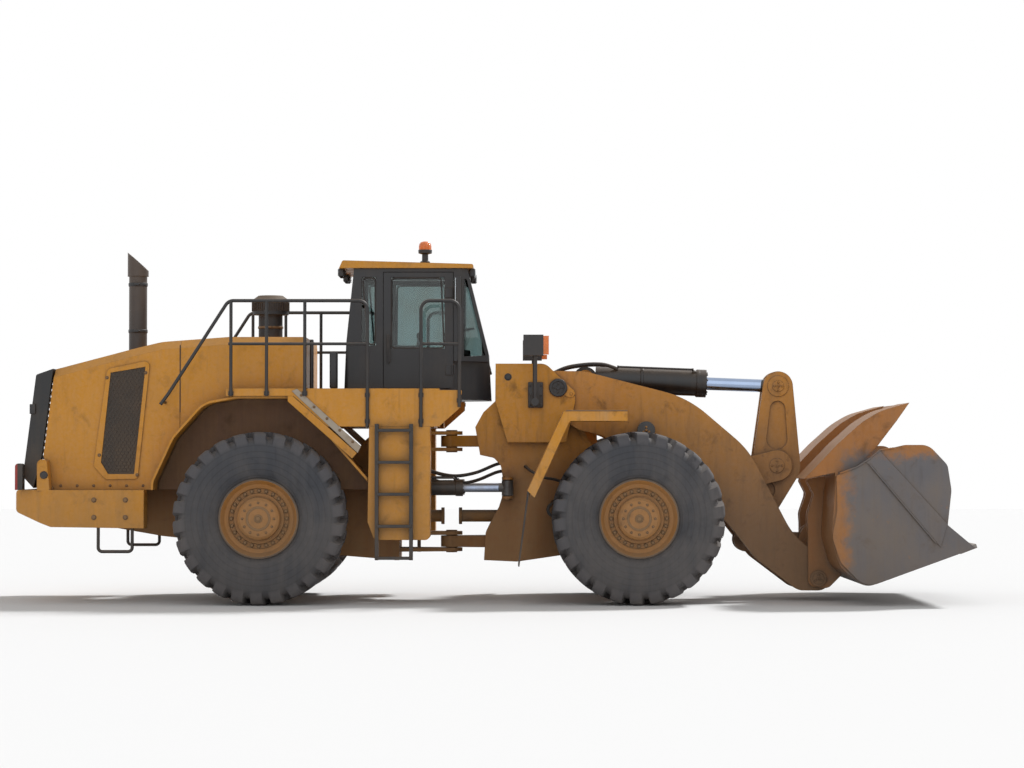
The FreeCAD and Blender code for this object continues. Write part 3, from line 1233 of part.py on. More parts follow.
# Lift cylinders outside the boom plates, and steering cylinders beside the hinge.
lift_foot = moved(lift_base, 0, -v.lift_side)
lift_head = moved(lift_eye, 0, -v.lift_side)
lift_length = span(lift_base, lift_eye) - v.lift_rod_shown
steer_length = v.steer_barrel_length
steer_mouth = moved(steer_base, steer_length)
steer_head = cut(
    joined([rod(moved(steer_base, 0, 0, -92), moved(steer_base, 0, 0, 92), 72),
            rod(moved(steer_base, 60), steer_mouth, v.steer_barrel_radius),
            rod(moved(steer_mouth, -90), steer_mouth, v.steer_barrel_radius + 10)]),
    rod(moved(steer_base, 0, 0, -200), moved(steer_base, 0, 0, 200), v.steer_pin_radius + v.pin_gap),
    rod(moved(steer_base, 120), moved(steer_mouth, 5), v.steer_rod_radius + 3))
steer_rod = joined([rod(moved(steer_base, 560), moved(steer_eye, -50), v.steer_rod_radius),
                    rod(moved(steer_eye, 0, 0, -92), moved(steer_eye, 0, 0, 92), 72)])
lift_barrel = barrel(lift_foot, lift_head, v.lift_barrel_radius * 0.3, lift_length, v.lift_barrel_radius,
                     v.lift_rod_radius, 66, v.lift_pin_radius)
lift_rod = piston(lift_foot, lift_head, 180, v.lift_rod_radius, 110, 66)
for label, shape in (("lift_barrel", lift_barrel), ("lift_rod", lift_rod), ("steering_barrel", steer_head),
                     ("steering_rod", steer_rod)):
    keep(f"{label}_right", shape)
    keep(f"{label}_left", mirrored(shape))

# Every feature is whole, and each sub-part is written to its own file.
doc.recompute()
for feature in doc.Objects:
    faults = [state for state in feature.State if state in ("Invalid", "Error")]
    if faults:
        raise RuntimeError(f"{feature.Label}: {faults}")
for label, piece in pieces.items():
    if piece.Shape.isNull() or not piece.Shape.isValid():
        raise RuntimeError(f"{label} has no valid shape")
os.makedirs("parts", exist_ok=True)
for label, piece in pieces.items():
    piece.Shape.exportStep(f"parts/{label}.step")
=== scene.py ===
import math

import bmesh
import bpy
import numpy as np
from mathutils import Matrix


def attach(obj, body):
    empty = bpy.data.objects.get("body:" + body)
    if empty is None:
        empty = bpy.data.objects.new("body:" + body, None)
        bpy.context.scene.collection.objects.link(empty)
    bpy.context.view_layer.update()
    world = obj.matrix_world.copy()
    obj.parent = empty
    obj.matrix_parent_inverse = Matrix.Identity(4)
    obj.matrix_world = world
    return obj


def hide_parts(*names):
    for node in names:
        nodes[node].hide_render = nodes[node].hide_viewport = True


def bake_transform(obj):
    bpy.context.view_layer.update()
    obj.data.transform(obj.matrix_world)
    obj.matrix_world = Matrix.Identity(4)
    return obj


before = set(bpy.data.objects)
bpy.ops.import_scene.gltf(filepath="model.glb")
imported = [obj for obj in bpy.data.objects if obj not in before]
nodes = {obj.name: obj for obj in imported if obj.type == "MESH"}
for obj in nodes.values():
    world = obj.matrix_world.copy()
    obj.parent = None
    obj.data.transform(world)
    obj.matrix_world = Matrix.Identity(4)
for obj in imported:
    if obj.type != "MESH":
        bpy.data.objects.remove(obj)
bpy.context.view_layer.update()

# Camera
# The photograph is taken level with the walkway, square to the machine's right side, from far
# enough away that the picture is nearly an elevation.
CAMERA_DISTANCE = 36.0
CAMERA_ALONG = 0.257
CAMERA_HEIGHT = 1.802
CAMERA_PITCH = math.radians(1.417)
FOCAL_PIXELS = 2870
PICTURE_WIDTH = 1024
SENSOR_WIDTH = 36.0
CLIP_REACH = 200
camera = bpy.data.objects.new("camera", bpy.data.cameras.new("camera"))
bpy.context.scene.collection.objects.link(camera)
camera.data.lens = FOCAL_PIXELS / PICTURE_WIDTH * SENSOR_WIDTH
camera.data.clip_end = CLIP_REACH
camera.location = (CAMERA_ALONG, -CAMERA_DISTANCE, CAMERA_HEIGHT)
camera.rotation_euler = (math.pi / 2 + CAMERA_PITCH, 0, 0)
bpy.context.scene.camera = camera

# Studio
# A wide pale floor under an even pale sky, a broad key light high on the right and behind, as the
# sun stands in the photograph, and a soft fill from the camera's side.
FLOOR_TONE = 0.80
FLOOR_REACH = 60.0
SKY_LEVEL = 0.46
KEY_STRENGTH, KEY_TURN, KEY_SPREAD = 2.8, (-26, 34, 0), 9
FILL_STRENGTH, FILL_TURN, FILL_SPREAD = 0.42, (58, -12, 0), 60


def tree_of(holder):
    """The holder's node tree, emptied."""
    holder.use_nodes = True
    holder.node_tree.nodes.clear()
    return holder.node_tree


def add(tree, kind, inputs=None, **settings):
    """A node with its settings; an input is a value, or a socket to link from."""
    made = tree.nodes.new("ShaderNode" + kind)
    for name, value in settings.items():
        setattr(made, name, value)
    for name, value in (inputs or {}).items():
        if isinstance(value, bpy.types.NodeSocket):
            tree.links.new(value, made.inputs[name])
        else:
            made.inputs[name].default_value = value
    return made


def seen_directly(tree):
    """1 for rays that come from the camera, a mirror or a glass, and 0 for the rest."""
    path = add(tree, "LightPath")
    shiny = add(tree, "Math", {0: path.outputs["Is Camera Ray"], 1: path.outputs["Is Glossy Ray"]},
                operation="MAXIMUM")
    return add(tree, "Math", {0: shiny.outputs[0], 1: path.outputs["Is Transmission Ray"]},
               operation="MAXIMUM").outputs[0]


surround = bpy.data.worlds.new("surround")
bpy.context.scene.world = surround
sky = tree_of(surround)
plain = add(sky, "Background", {"Color": (1, 1, 1, 1), "Strength": SKY_LEVEL})
white = add(sky, "Background", {"Color": (1, 1, 1, 1), "Strength": 1.0})
chosen = add(sky, "MixShader", {0: seen_directly(sky), 1: plain.outputs[0], 2: white.outputs[0]})
add(sky, "OutputWorld", {0: chosen.outputs[0]})

floor_mesh = bpy.data.meshes.new("floor")
floor_corners = [(-1, -1), (1, -1), (1, 1), (-1, 1)]
floor_mesh.from_pydata([(along * FLOOR_REACH, across * FLOOR_REACH, 0) for along, across in floor_corners],
                       [], [(0, 1, 2, 3)])
floor = bpy.data.objects.new("floor", floor_mesh)
bpy.context.scene.collection.objects.link(floor)
floor_look = bpy.data.materials.new("pale_floor")
floor_tree = tree_of(floor_look)
floor_shader = add(floor_tree, "BsdfPrincipled", {
    "Base Color": (FLOOR_TONE, FLOOR_TONE, FLOOR_TONE, 1), "Roughness": 0.95, "Specular IOR Level": 0.1})
add(floor_tree, "OutputMaterial", {0: floor_shader.outputs[0]})
floor_mesh.materials.append(floor_look)


def sun(name, strength, turn, spread):
    """A distant light turned from straight down, as wide as the spread; both angles in degrees."""
    light = bpy.data.lights.new(name, "SUN")
    light.energy = strength
    light.angle = math.radians(spread)
    holder = bpy.data.objects.new(name, light)
    holder.rotation_euler = np.radians(turn).tolist()
    bpy.context.scene.collection.objects.link(holder)


sun("key", KEY_STRENGTH, KEY_TURN, KEY_SPREAD)
sun("fill", FILL_STRENGTH, FILL_TURN, FILL_SPREAD)
bpy.context.scene.view_settings.view_transform = "Standard"

# Working dirt and crevice shade
# Every outside face of the machine carries quarry dust, thickest on what faces up and low down,
# with dark runs down its sides, and its paint is chipped through to steel along the edges. Crevices
# gather dust and are darkened with painted shade.
EDGE_RADIUS = 0.010
CREVICE_REACH = 0.14
EFFECT_SAMPLES = 4


def linear(red, green, blue):
    """A display colour, 0 to 255, as the linear colour that a shader takes."""
    share = np.array([red, green, blue]) / 255
    straight = np.where(share <= 0.04045, share / 12.92, ((share + 0.055) / 1.055) ** 2.4)
    return (*straight.tolist(), 1.0)


def new_group(name, inputs, outputs):
    """An empty node group with named sockets: floats, vectors, or colours of four parts."""
    group = bpy.data.node_groups.new(name, "ShaderNodeTree")
    for key, default in inputs.items():
        is_colour = isinstance(default, tuple) and len(default) == 4
        kind = "Color" if is_colour else "Vector" if isinstance(default, tuple) else "Float"
        socket = group.interface.new_socket(key, in_out="INPUT", socket_type="NodeSocket" + kind)
        socket.default_value = default
    for key, kind in outputs.items():
        group.interface.new_socket(key, in_out="OUTPUT", socket_type="NodeSocket" + kind)
    return group, group.nodes.new("NodeGroupInput").outputs, group.nodes.new("NodeGroupOutput")


def noise(tree, vector, scale, detail=4.0, roughness=0.6, distortion=0.0):
    """A cloudy pattern from 0 to 1."""
    return add(tree, "TexNoise", {"Vector": vector, "Scale": scale, "Detail": detail,
                                  "Roughness": roughness, "Distortion": distortion}).outputs["Fac"]


def ramp(tree, value, low, high):
    """0 below one level, 1 above another, smooth between."""
    return add(tree, "MapRange", {"Value": value, "From Min": low, "From Max": high},
               interpolation_type="SMOOTHSTEP").outputs["Result"]


def mix(tree, share, one, two):
    """One colour towards another by a share."""
    return add(tree, "Mix", {0: share, 6: one, 7: two}, data_type="RGBA").outputs[2]


def calc(tree, operation, one, two=0.0):
    """One step of arithmetic on one or two values."""
    return add(tree, "Math", {0: one, 1: two}, operation=operation).outputs[0]


def times(tree, *values):
    """The product of several shares."""
    product = values[0]
    for value in values[1:]:
        product = calc(tree, "MULTIPLY", product, value)
    return product


def part_of(tree, vector, axis):
    """One axis of a vector."""
    return add(tree, "SeparateXYZ", {0: vector}).outputs[axis]


weather, given, out = new_group("weathered_surface", {
    "Vector": (0.0, 0.0, 0.0), "Base": (0.8, 0.8, 0.8, 1.0), "Bare": (0.2, 0.2, 0.2, 1.0),
    "Dust": (0.5, 0.4, 0.3, 1.0), "Grime_and_shade": (0.1, 0.07, 0.04, 1.0), "Wear": 0.3, "Dirt": 0.4, "Shine": 0.45,
}, {"Color": "Color", "Roughness": "Float", "Metallic": "Float", "Height": "Float", "Rounded": "Vector"})
place = given["Vector"]
shape = add(weather, "NewGeometry")
rounded = add(weather, "Bevel", {"Radius": EDGE_RADIUS}, samples=EFFECT_SAMPLES)
sharpness = add(weather, "VectorMath", {0: shape.outputs["Normal"], 1: rounded.outputs[0]},
                operation="DOT_PRODUCT").outputs["Value"]
edge = ramp(weather, sharpness, 0.985, 0.86)
broken = noise(weather, place, 34.0, 6.0, 0.72)
fine = noise(weather, place, 21.0, 5.0, 0.7)
clouds = noise(weather, place, 1.7, 8.0, 0.62)
patches = noise(weather, place, 4.3, 7.0, 0.66, 0.4)
drawn_out = add(weather, "Mapping", {0: place, "Scale": (7.0, 7.0, 0.45)}).outputs[0]
runs = noise(weather, drawn_out, 1.0, 6.0, 0.65)
drawn_thin = add(weather, "Mapping", {0: place, "Scale": (15.0, 15.0, 1.6)}).outputs[0]
trickles = noise(weather, drawn_thin, 1.0, 5.0, 0.6, 0.3)
up = part_of(weather, shape.outputs["Normal"], "Z")
low_down = ramp(weather, part_of(weather, place, "Z"), 2.5, 0.3)
# Ambient occlusion finds the crevices: it adds dust there and darkens them in the stain colour as painted shade.
crevice = add(weather, "AmbientOcclusion", {"Distance": CREVICE_REACH}, samples=EFFECT_SAMPLES).outputs["AO"]
crevice_dust_and_shade = times(weather, ramp(weather, crevice, 0.88, 0.35), 0.55)
chipped = times(weather, edge, ramp(weather, broken, 0.42, 0.60))
scratched = times(weather, ramp(weather, noise(weather, place, 9.0, 9.0, 0.8, 0.6), 0.66, 0.70), 0.35)
worn = times(weather, calc(weather, "MAXIMUM", chipped, scratched), given["Wear"])
film = calc(weather, "ADD", times(weather, clouds, 0.55), times(weather, runs, 0.45))
film = calc(weather, "ADD", film, times(weather, low_down, 0.20))
lying = times(weather, ramp(weather, up, 0.25, 0.95), 0.75)
dust_share = calc(weather, "ADD", ramp(weather, film, 0.42, 0.86), calc(weather, "ADD", lying, crevice_dust_and_shade))
dust_share = times(weather, dust_share, given["Dirt"], calc(weather, "ADD", 0.65, times(weather, fine, 0.7)))
dust_share = calc(weather, "MINIMUM", dust_share, 1.0)
stain_and_shade = calc(weather, "MAXIMUM", ramp(weather, patches, 0.52, 0.74),
               times(weather, ramp(weather, trickles, 0.50, 0.78), 0.5))
stain_and_shade = calc(weather, "ADD", times(weather, stain_and_shade, 0.55), times(weather, crevice_dust_and_shade, 0.9))
stain_and_shade = calc(weather, "MINIMUM", times(weather, stain_and_shade, given["Dirt"], 1.5), 0.9)
shade = add(weather, "HueSaturation", {
    "Color": given["Base"], "Value": calc(weather, "ADD", 0.84, times(weather, clouds, 0.32)),
    "Saturation": calc(weather, "ADD", 0.90, times(weather, fine, 0.2))}).outputs[0]
coat = mix(weather, dust_share, mix(weather, stain_and_shade, shade, given["Grime_and_shade"]), given["Dust"])
bare = mix(weather, fine, given["Bare"], linear(92, 64, 44))
rough = calc(weather, "ADD", given["Shine"], times(weather, calc(weather, "MAXIMUM", dust_share, stain_and_shade), 0.4))
grain = calc(weather, "ADD", times(weather, fine, 0.4), times(weather, dust_share, 0.4))
weather.links.new(mix(weather, worn, coat, bare), out.inputs["Color"])
weather.links.new(calc(weather, "MINIMUM", rough, 0.95), out.inputs["Roughness"])
weather.links.new(times(weather, worn, 0.75), out.inputs["Metallic"])
weather.links.new(calc(weather, "SUBTRACT", grain, worn), out.inputs["Height"])
weather.links.new(rounded.outputs[0], out.inputs["Rounded"])

DUST = linear(150, 120, 86)
GRIME_AND_SHADE = linear(66, 46, 30)


def weathered(name, base, wear, dirt, shine, dust=DUST, grime_and_shade=GRIME_AND_SHADE, bare=linear(112, 104, 98),
              metal=None, bump=0.25, relief=None, deep=0.002):
    """A material of one base colour under the machine's wear and dust, with painted shade in its crevices.

    base, metal and relief may be functions that draw a colour, a share or a height in the tree from
    the object's own coordinates; relief is added to the grain of the dust."""
    look = bpy.data.materials.new(name)
    tree = tree_of(look)
    spot = add(tree, "TexCoord").outputs["Object"]
    finish = add(tree, "Group", node_tree=weather)
    tree.links.new(spot, finish.inputs["Vector"])
    for key, value in (("Bare", bare), ("Dust", dust), ("Grime_and_shade", grime_and_shade), ("Wear", wear), ("Dirt", dirt),
                       ("Shine", shine)):
        finish.inputs[key].default_value = value
    if callable(base):
        tree.links.new(base(tree, spot), finish.inputs["Base"])
    else:
        finish.inputs["Base"].default_value = base
    height = finish.outputs["Height"]
    if relief:
        height = calc(tree, "ADD", height, relief(tree, spot))
    bumped = add(tree, "Bump", {"Strength": bump, "Distance": deep, "Height": height,
                                "Normal": finish.outputs["Rounded"]})
    if metal is None:
        metal = finish.outputs["Metallic"]
    elif callable(metal):
        metal = metal(tree, spot)
    shader = add(tree, "BsdfPrincipled", {
        "Base Color": finish.outputs["Color"], "Roughness": finish.outputs["Roughness"], "Metallic": metal,
        "Normal": bumped.outputs[0]})
    add(tree, "OutputMaterial", {0: shader.outputs[0]})
    return look


def finish_nodes(look, *names):
    """The material on whole nodes of the frame."""
    for name in names:
        node = nodes[name]
        node.data.materials.clear()
        node.data.materials.append(look)


PAINT = linear(200, 136, 36)
yellow_paint = weathered("yellow_paint", PAINT, 0.7, 0.42, 0.42)
black_paint = weathered("black_paint", linear(34, 34, 37), 0.45, 0.16, 0.45, grime_and_shade=linear(22, 19, 17))

# Tyres
# Radial earthmover tyres, 29.5R25 size, of black rubber moulded round a steel belt. Each half of the
# tread has 26 curved lugs, half a pitch apart across the middle, that run down over the shoulder as
# buttresses; the wall below has a moulded bead ring and a scuff rib.
TYRE_RADIUS = 1.041
TYRE_HALF_WIDTH = 0.445
LUG_PITCHES = 26
LUG_STEPS = 16
FRONT_AXLE, REAR_AXLE = 1.777, -2.773
HALF_TRACK = 1.295
WHEEL_STAGGER = 0.11
WHEELS = {
    f"{end}_{hand}": np.array([along, side * HALF_TRACK, TYRE_RADIUS])
    for end, along in (("front", FRONT_AXLE), ("rear", REAR_AXLE)) for hand, side in (("left", 1), ("right", -1))
}


def lattice(rows, columns, wraps=False):
    """Quads over a grid of points stored row after row; wraps joins the last row to the first."""
    row, column = np.meshgrid(np.arange(rows if wraps else rows - 1), np.arange(columns - 1), indexing="ij")
    low, high = row * columns, (row + 1) % rows * columns
    return np.stack([low + column, low + column + 1, high + column + 1, high + column], -1).reshape(-1, 4)


def smooth(share):
    """Eases from 0 to 1: three times the share's square less twice its cube."""
    share = np.clip(share, 0, 1)
    return share * share * (3 - 2 * share)


def mesh_piece(name, points, faces, look, body, angle=32, hides=()):
    """An object of world points and faces with sharp creases, riding a body."""
    mesh = bpy.data.meshes.new(name)
    mesh.from_pydata(points.reshape(-1, 3).tolist(), [], [list(face) for face in faces])
    shaped = bmesh.new()
    shaped.from_mesh(mesh)
    bmesh.ops.recalc_face_normals(shaped, faces=shaped.faces)
    shaped.to_mesh(mesh)
    shaped.free()
    mesh.polygons.foreach_set("use_smooth", np.ones(len(mesh.polygons), bool))
    mesh.set_sharp_from_angle(angle=math.radians(angle))
    mesh.materials.append(look)
    piece = bpy.data.objects.new(name, mesh)
    bpy.context.scene.collection.objects.link(piece)
    if body:
        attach(piece, body)
    if hides:
        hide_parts(*hides)
    return piece


def give_uv(piece, across, along):
    """A coordinate map with one pair of values for each vertex."""
    mesh = piece.data
    corners = np.empty(len(mesh.loops), np.int32)
    mesh.loops.foreach_get("vertex_index", corners)
    layer = mesh.uv_layers.new(name="surface")
    layer.data.foreach_set("uv", np.stack([across[corners], along[corners]], -1).ravel())


def tread_surface():
    """One tyre about its own axle: radius as a function of the angle and the way across it.

    The profile runs from the bead up the wall, round the shoulder and over the tread. The groove
    floor follows the carcass; inside a lug's outline the surface stands out by the lug's depth. A
    lug's middle line curves back as it nears the tyre's middle, and the lug is widest at the
    shoulder, where it runs down the wall and fades out."""
    station = np.array([0.0, 0.05, 0.10, 0.14, 0.20, 0.28, 0.36, 0.44, 0.50, 0.54, 0.58, 0.61, 0.64, 0.66,
                        0.68, 0.71, 0.75, 0.79, 0.83, 0.87, 0.91, 0.95, 0.985, 1.0])
    key = [0.0, 0.10, 0.14, 0.20, 0.36, 0.50, 0.58, 0.64, 0.68, 0.75, 1.0]
    outer_radius = [0.478, 0.520, 0.560, 0.620, 0.745, 0.865, 0.930, 0.985, 1.018, 1.034, 1.041]
    outer_side = [0.352, 0.372, 0.402, 0.424, 0.4435, 0.4445, 0.440, 0.426, 0.400, 0.330, 0.0]
    floor_radius = [0.478, 0.520, 0.560, 0.620, 0.745, 0.865, 0.915, 0.940, 0.956, 0.970, 0.979]
    floor_side = [0.352, 0.372, 0.402, 0.424, 0.4435, 0.4440, 0.418, 0.392, 0.352, 0.290, 0.0]
    half = np.stack([np.interp(station, key, values)
                     for values in (outer_radius, outer_side, floor_radius, floor_side)])
    outer_r, outer_y, floor_r, floor_y = np.concatenate([half, (half * [[1], [-1], [1], [-1]])[:, -2::-1]], 1)
    steps = LUG_PITCHES * LUG_STEPS
    turn = np.arange(steps)[:, None] / steps
    side = np.sign(outer_y)[None]
    way = np.abs(outer_y)[None] / TYRE_HALF_WIDTH
    bend = 0.36 * (1 - way) ** 1.6 + 0.10 * np.sin(way * 3.0)
    phase = (turn * LUG_PITCHES + side * 0.25 + bend) % 1.0 - 0.5
    width = np.interp(way, [0, 0.08, 0.2, 0.6, 1.0], [0.13, 0.17, 0.21, 0.27, 0.31])
    flank = 0.055
    lug = smooth((width + flank - np.abs(phase)) / flank)
    over = np.concatenate([station, station[-2::-1]])[None]
    lug = lug * smooth((over - 0.50) / 0.07)
    rib = 0.008 * sum(np.exp(-((outer_r - ring) / 0.016) ** 2) for ring in (0.585, 0.745, 0.850))
    radius = floor_r + (outer_r - floor_r) * lug
    across = floor_y + (outer_y - floor_y) * lug + np.sign(outer_y) * np.minimum(rib, 0.444 - np.abs(floor_y))
    angle = turn * 2 * math.pi + across * 0
    points = np.stack([radius * np.sin(angle), across, radius * np.cos(angle)], -1)
    return points, radius, lug * np.ones_like(turn)


def tyre_colour(tree, spot):
    """Grooves darker than lugs, and faint dark rings round the wall as painted shade of its moulded ribs, from the
    tyre's own map.
    """
    reach, lug = add(tree, "SeparateXYZ", {0: add(tree, "UVMap", uv_map="surface").outputs[0]}).outputs[:2]
    # Dark bands round the wall are painted shade standing in for the relief of the moulded ribs.
    rings = ramp(tree, calc(tree, "SINE", times(tree, reach, 88.0)), 0.72, 1.0)
    wall = times(tree, rings, ramp(tree, reach, 0.90, 0.86), 0.55)
    return mix(tree, wall, mix(tree, ramp(tree, lug, 0.25, 0.95), linear(56, 58, 64), linear(74, 73, 77)),
               linear(34, 35, 38))


tyre_look = weathered("tyre_rubber", tyre_colour, 0.0, 0.55, 0.7, dust=linear(112, 106, 102),
                      grime_and_shade=linear(34, 35, 39), bump=0.5, deep=0.004)
rubber_trim = weathered("rubber_trim", linear(44, 44, 47), 0.0, 0.4, 0.7, dust=linear(150, 132, 112))
tyre_points, tyre_radius, tyre_lug = tread_surface()
tyre_faces = lattice(tyre_points.shape[0], tyre_points.shape[1], wraps=True)
for number, (corner, centre) in enumerate(WHEELS.items()):
    spun = number * WHEEL_STAGGER
    turned_points = tyre_points @ np.array([[math.cos(spun), 0, -math.sin(spun)], [0, 1, 0],
                                            [math.sin(spun), 0, math.cos(spun)]])
    tyre = mesh_piece(f"{corner}_tyre_tread", turned_points + centre, tyre_faces, tyre_look,
                      f"{corner}_wheel", angle=40, hides=[f"{corner}_tyre"])
    finish_nodes(rubber_trim, f"{corner}_tyre")
    give_uv(tyre, tyre_radius.ravel(), tyre_lug.ravel())

# Rims
# Five-piece steel rims: a pressed disc is welded inside, twenty-four studs with hexagon nuts hold it
# to the planetary hub, and the hub's cover has its own ring of screws and an oil plug.
FLANGE_RADIUS = 0.455
NUT_COUNT = 24
NUT_CIRCLE = 0.333
NUT_FACE = 0.2895
COVER_SCREWS = 12
COVER_CIRCLE = 0.190
COVER_FACE = 0.4275


def directions(axis):
    """An axis as a unit vector, and two more at right angles to it and to each other."""
    way = np.asarray(axis, float) / np.linalg.norm(axis)
    guide = np.eye(3)[np.argmin(np.abs(way))]
    one = np.cross(way, guide)
    one /= np.linalg.norm(one)
    return way, one, np.cross(way, one)


def revolved(start, axis, profile, sides=24, lobes=None):
    """A profile of distance along an axis and radius from it, carried round the axis.

    lobes gives the radius a factor that depends on the angle."""
    way, one, other = directions(axis)
    turn = np.arange(sides) / sides * 2 * math.pi
    along, radius = np.asarray(profile, float).T
    reach = radius * (np.ones(sides) if lobes is None else lobes(turn))[:, None]
    ring = np.cos(turn)[:, None] * one + np.sin(turn)[:, None] * other
    points = np.asarray(start) + along[None, :, None] * way + reach[..., None] * ring[:, None]
    return points.reshape(-1, 3), [lattice(sides, len(along), wraps=True)]


def repeated(shape, spots):
    """The shape, drawn about the origin, at each spot."""
    points, faces = shape
    spots = np.asarray(spots, float).reshape(-1, 1, 3)
    steps = (np.arange(len(spots)) * len(points))[:, None, None]
    return (spots + points[None]).reshape(-1, 3), [(steps + group[None]).reshape(-1, group.shape[1])
                                                   for group in faces]


def gathered(*shapes):
    """Several shapes as one."""
    starts = np.cumsum([0] + [len(points) for points, _ in shapes[:-1]])
    return (np.concatenate([points for points, _ in shapes]),
            [group + start for (_, faces), start in zip(shapes, starts) for group in faces])


def both_sides(shape):
    """The shape and its mirror image across the middle plane."""
    points, faces = shape
    return gathered(shape, (points * [1, -1, 1], [group[:, ::-1] for group in faces]))


def screws(spots, axis, radius, height):
    """Hexagon heads on round washers: the corner angle sets the radius of the head's twelve points."""
    way, one, other = directions(axis)
    turn = np.arange(12) / 12 * 2 * math.pi
    hexagon = math.cos(math.pi / 6) / np.cos(turn % (math.pi / 3) - math.pi / 6)
    rows = np.array([[0, 1.35, 0], [0.15, 1.35, 0], [0.15, 1, 1], [0.85, 1, 1], [1, 0.84, 0], [1, 0, 0]])
    reach = radius * rows[None, :, 1] * np.where(rows[None, :, 2] > 0, hexagon[:, None], 1)
    ring = np.cos(turn)[:, None] * one + np.sin(turn)[:, None] * other
    points = way * height * rows[None, :, :1] + reach[..., None] * ring[:, None]
    return repeated((points.reshape(-1, 3), [lattice(12, len(rows), wraps=True)]), spots)


def circle(centre, axis, radius, count, first=0.0):
    """Spots round a circle about an axis."""
    way, one, other = directions(axis)
    turn = (np.arange(count) + first)[:, None] / count * 2 * math.pi
    return np.asarray(centre) + radius * (np.cos(turn) * one + np.sin(turn) * other)


def put(name, shape, look, body, angle=32, hides=()):
    """The shape as one piece of the scene."""
    points, groups = shape
    return mesh_piece(name, points, [face for group in groups for face in group.tolist()],
                      look, body, angle, hides)


def wheel_reach(tree, spot):
    """Distance from the nearer axle, whose two lines stand evenly about the hinge."""
    apart = add(tree, "SeparateXYZ", {0: spot}).outputs
    middle, half_base = (FRONT_AXLE + REAR_AXLE) / 2, (FRONT_AXLE - REAR_AXLE) / 2
    along = calc(tree, "SUBTRACT", calc(tree, "ABSOLUTE", calc(tree, "SUBTRACT", apart["X"], middle)), half_base)
    high = calc(tree, "SUBTRACT", apart["Z"], TYRE_RADIUS)
    return calc(tree, "SQRT", calc(tree, "ADD", calc(tree, "POWER", along, 2.0),
                                   calc(tree, "POWER", high, 2.0)))


def rim_colour(tree, spot):
    """Yellow up to the flange, and dark outside it: painted shade on the flange."""
    # The flange's dark colour is painted shade.
    flange = ramp(tree, wheel_reach(tree, spot), FLANGE_RADIUS, FLANGE_RADIUS + 0.007)
    return mix(tree, flange, linear(164, 112, 54), linear(62, 58, 54))


rim_look = weathered(
    "rim_paint", rim_colour, 0.5, 0.6, 0.5, dust=linear(140, 110, 78), grime_and_shade=linear(60, 44, 32))
nut_look = weathered("nut_steel", linear(120, 92, 62), 0.8, 0.6, 0.5, metal=0.3)
for corner, centre in WHEELS.items():
    side = np.sign(centre[1])
    out_way = (0, side, 0)
    finish_nodes(rim_look, f"{corner}_rim")
    nuts = screws(circle(centre + [0, side * NUT_FACE, 0], out_way, NUT_CIRCLE, NUT_COUNT), out_way, 0.019, 0.030)
    cover = screws(circle(centre + [0, side * COVER_FACE, 0], out_way, COVER_CIRCLE, COVER_SCREWS), out_way,
                   0.012, 0.012)
    plug = revolved(centre + [0, side * (COVER_FACE - 0.004), 0], out_way,
                    [(0, 0.052), (0.012, 0.052), (0.016, 0.047), (0.016, 0.030), (0.030, 0.028), (0.030, 0)], 20)
    step = revolved(centre + [0, side * (COVER_FACE - 0.004), 0], out_way,
                    [(0, 0.150), (0.010, 0.147), (0.010, 0.120), (0, 0.117)], 48)
    put(f"{corner}_hub_nuts", gathered(nuts, cover, plug, step), nut_look, f"{corner}_wheel")

# Side grilles
# A pressed steel frame on each side of the hood holds a sheet of hexagonal mesh in front of the
# cooling bay, and four screws hold the frame. The bay's shade is painted near black on the sheet
# behind the mesh.
OUTWARD = (0, -1, 0)
MESH_PITCH = 0.048
MESH_ROW = MESH_PITCH * 0.866
MESH_GAUGE = 0.008
MESH_MIDDLE = (-4.45, 2.2)
MESH_SIDE = -1.159
CELL_RADIUS = MESH_PITCH * 0.577
HOLE_RADIUS = CELL_RADIUS * 0.76
GRILLE_OUTLINE = np.array([(-4.615, 2.801), (-4.729, 1.713), (-4.643, 1.571), (-4.328, 1.571),
                           (-4.193, 2.873)])


def inside(outline, spots, margin=0.012):
    """The spots of a grid that lie within a convex outline by a margin, whichever way it runs."""
    edge_way = np.roll(outline, -1, 0) - outline
    apart = spots[:, None] - outline[None]
    turn = edge_way[None, :, 0] * apart[..., 1] - edge_way[None, :, 1] * apart[..., 0]
    away = turn / np.linalg.norm(edge_way, axis=1)
    return spots[(away > margin).all(1) | (away < -margin).all(1)]


def at_side(spots, side):
    """Spots given along and up, set to one side of the machine."""
    return np.insert(np.asarray(spots, float), 1, side, axis=1)


column, row = np.meshgrid(np.arange(-8, 9), np.arange(-18, 19), indexing="ij")
cells = np.stack([(column + row % 2 / 2) * MESH_PITCH, row * MESH_ROW], -1) + MESH_MIDDLE
cells = inside(GRILLE_OUTLINE, cells.reshape(-1, 2))
cell = revolved((0, 0, 0), OUTWARD, [(0, CELL_RADIUS), (MESH_GAUGE, CELL_RADIUS), (MESH_GAUGE, HOLE_RADIUS),
                                     (0, HOLE_RADIUS), (0, CELL_RADIUS)], 6)
mesh_sheet = repeated(cell, at_side(cells, MESH_SIDE))
mesh_look = weathered("grille_mesh", linear(52, 42, 34), 0.3, 0.5, 0.5, dust=linear(96, 74, 54))
put("side_grille_mesh", both_sides(mesh_sheet), mesh_look, "rear_half")
frame_screws = at_side([(-4.66, 2.74), (-4.75, 1.80), (-4.29, 1.56), (-4.19, 2.80)], -1.172)
put("side_grille_screws", both_sides(screws(frame_screws, OUTWARD, 0.016, 0.012)), nut_look, "rear_half")
